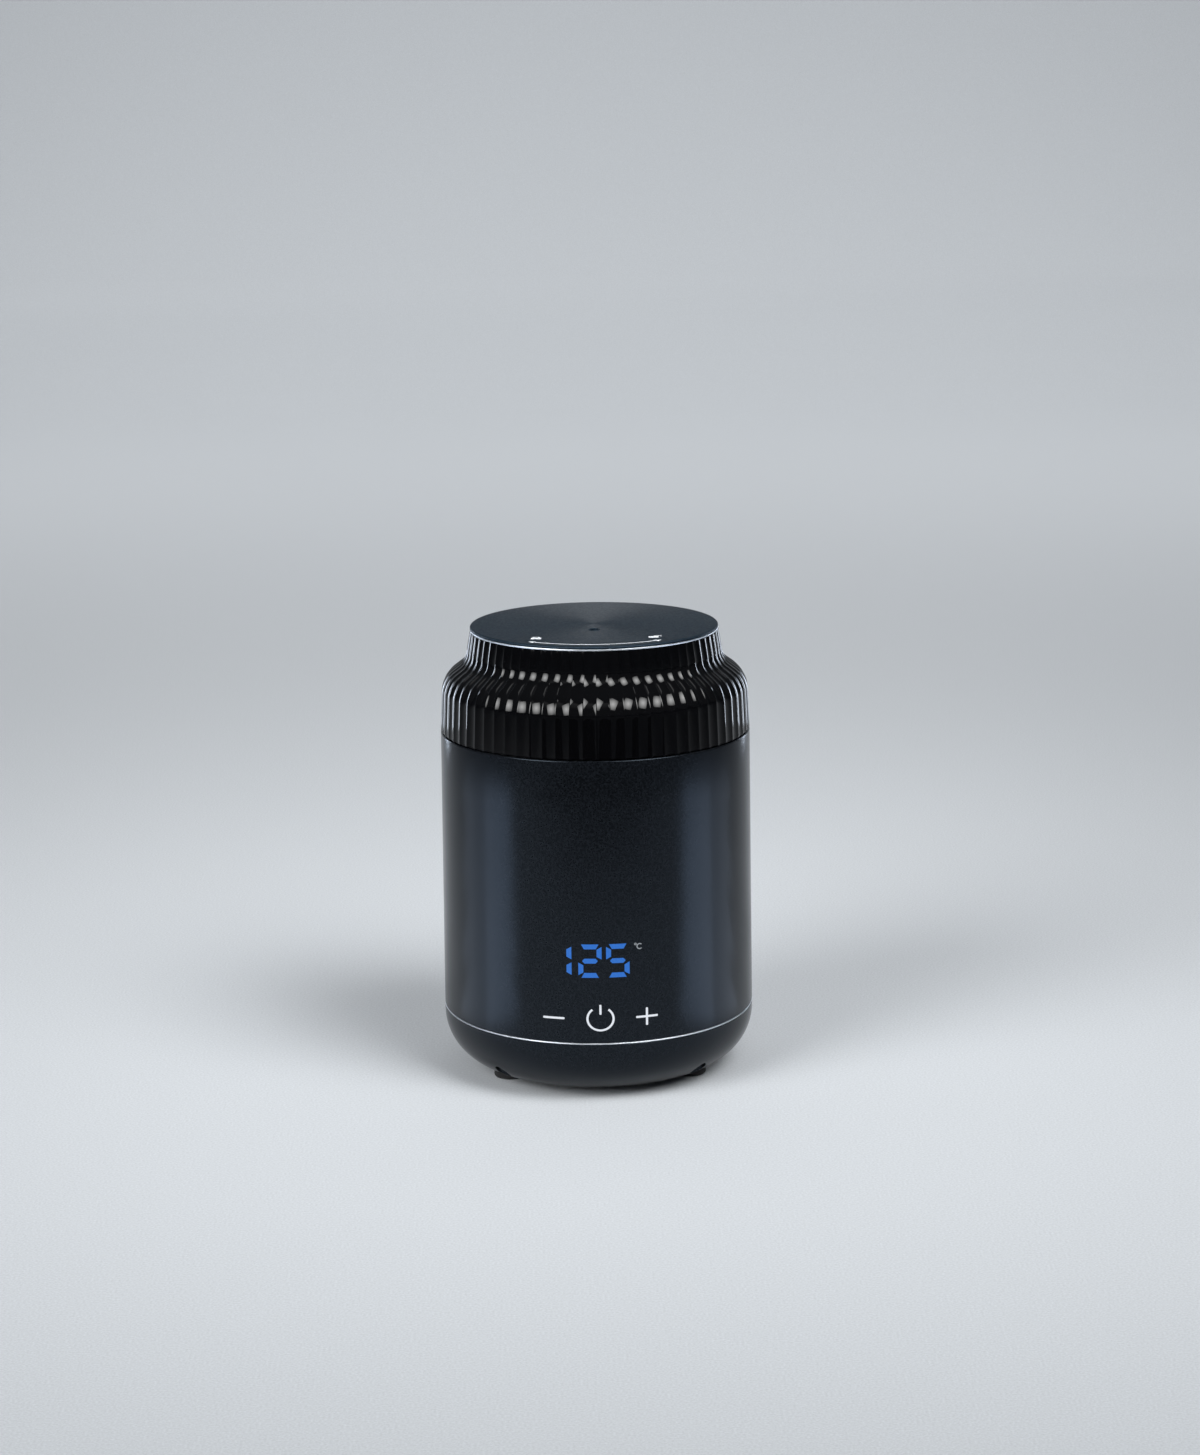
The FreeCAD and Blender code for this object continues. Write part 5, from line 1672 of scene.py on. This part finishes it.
@dataclass
class Studio:
    """Camera, floor, black card and soft light. Its sizes and places are metres."""

    camera_distance: float = 1.1409
    camera_height: float = 0.37734
    camera_side: float = 0.00177
    pitch: float = 12.315
    roll: float = -0.7178
    yaw: float = -0.64
    focal_px: float = 3142.45
    long_side_px: float = 1455.0
    sensor_mm: float = 36.0
    world_colour: str = "#b4bac2"
    world_strength: float = 0.2
    boxes: tuple[SoftBox, ...] = (
        SoftBox("left_front_box", -47, 29, 1.3, (0.82, 0.95), 2.8, beam=55),
        SoftBox("right_front_box", 45, 48, 1.3, (0.82, 1.0), 3.0, beam=55),
        SoftBox("left_rear_bar", -136, 0, 0.5, (0.04, 0.32), 0.029, (0, 0, 0.203), 40, "#e2eeff"),
        SoftBox("right_rear_bar", 136, 0, 0.5, (0.04, 0.32), 0.027, (0, 0, 0.203), 40, "#e2eeff"),
        SoftBox("backdrop_box", 0, 70, 2.0, (3.0, 1.6), 28.0, (0, 2.1, 0.1), 120),
        SoftBox("front_floor_box", 0, 90, 10.0, (16.0, 10.0), 100.0, (0, -11, 0), 110),
    )
    fans: tuple[FloorFan, ...] = (
        FloorFan("left_strip", -1, -0.42, 0.02, 7.6),
        FloorFan("left_side", -1, 0.02, 0.42, 2.8),
        FloorFan("right_strip", 1, -0.42, 0.05, 7.3),
        FloorFan("right_side", 1, 0.07, 0.42, 2.8),
    )
    floor_reach: float = 20.0
    backdrop_y: float = 3.0
    wall_height: float = 3.0
    sweep: float = 1.0
    sweep_steps: int = 16
    card_size: tuple[float, float] = (0.9, 2.6)
    card_place: tuple[float, float, float] = (0.0, -1.74, 0.001)

    def set_camera(self) -> None:
        """Puts the camera where the photograph's perspective places it."""
        Workpiece.clear_bench()
        yaw = math.radians(self.yaw)
        x = self.camera_side * math.cos(yaw) + self.camera_distance * math.sin(yaw)
        y = self.camera_side * math.sin(yaw) - self.camera_distance * math.cos(yaw)
        turn = Matrix.Rotation(yaw, 3, "Z")
        turn @= Matrix.Rotation(math.radians(90 - self.pitch), 3, "X")
        turn @= Matrix.Rotation(math.radians(self.roll), 3, "Z")
        bpy.ops.object.camera_add(location=(x, y, self.camera_height), rotation=turn.to_euler())
        camera = bpy.context.view_layer.objects.active
        camera.name = "camera"
        camera.data.sensor_width = self.sensor_mm
        camera.data.lens = self.sensor_mm * self.focal_px / self.long_side_px
        bpy.context.scene.camera = camera

    def lay_floor(self) -> None:
        """Lays a pale floor that sweeps up into a backdrop, and far off into walls on the other sides."""
        Workpiece.clear_bench()
        bpy.ops.mesh.primitive_plane_add(size=1)
        floor = Workpiece("floor")
        floor.open()
        floor.pick(lambda one, two: True, edges=True)
        bpy.ops.transform.resize(value=(2 * self.floor_reach, self.floor_reach + self.backdrop_y, 1))
        bpy.ops.transform.translate(value=(0, (self.backdrop_y - self.floor_reach) / 2, 0))
        bpy.ops.mesh.extrude_edges_move(TRANSFORM_OT_translate={"value": (0, 0, self.wall_height)})
        middle = self.wall_height / 2
        floor.pick(lambda one, two: one.z < middle and two.z < middle, edges=True)
        bpy.ops.mesh.bevel(offset=self.sweep, segments=self.sweep_steps, affect="EDGES")
        floor.close()
        floor.smooth(CREASE)
        floor.obj.data.materials.append(FLOOR_PAPER.material())

    def lay_card(self) -> None:
        """Lays a black card before the front, which shows only as a dark reflection under the lid."""
        Workpiece.clear_bench()
        bpy.ops.mesh.primitive_plane_add(size=1, location=self.card_place)
        card = Workpiece("black_card")
        card.obj.scale = (*self.card_size, 1)
        card.obj.visible_camera = False
        card.obj.visible_diffuse = False
        card.obj.visible_shadow = False
        card.obj.data.materials.append(CARD_VELVET.material())

    def light(self) -> None:
        """Hangs the soft boxes, lays the floor panels and sets a dim even world."""
        for lamp in (*self.boxes, *self.fans):
            lamp.hang()
        world = bpy.data.worlds.new("studio")
        world.use_nodes = True
        background = world.node_tree.nodes["Background"]
        background.inputs["Color"].default_value = linear(self.world_colour)
        background.inputs["Strength"].default_value = self.world_strength
        bpy.context.scene.world = world
        bpy.context.scene.view_settings.view_transform = "Standard"

    def build(self) -> None:
        """Sets up the whole studio."""
        self.set_camera()
        self.lay_floor()
        self.lay_card()
        self.light()


def dress_inner_nodes() -> None:
    """Gives every node of the frame that still shows, or hides inside, its slot's finish."""
    slots = {part["node"]: Slot(part["material_slot"]) for part in frame["record"]["subparts"]}
    for name, node in frame["nodes"].items():
        node.data.materials.clear()
        node.data.materials.append(FINISHES[slots[name]].material())
    log.info("%d nodes of the frame dressed", len(slots))


def main() -> None:
    """Builds the sub-assemblies in order."""
    logging.basicConfig(level=logging.INFO, format="%(message)s")
    dress_inner_nodes()
    Pot().build()
    housing = Shell().build()
    Lid().build()
    FrontSigns().build(housing)
    Studio().build()


if __name__ == "__main__":
    main()
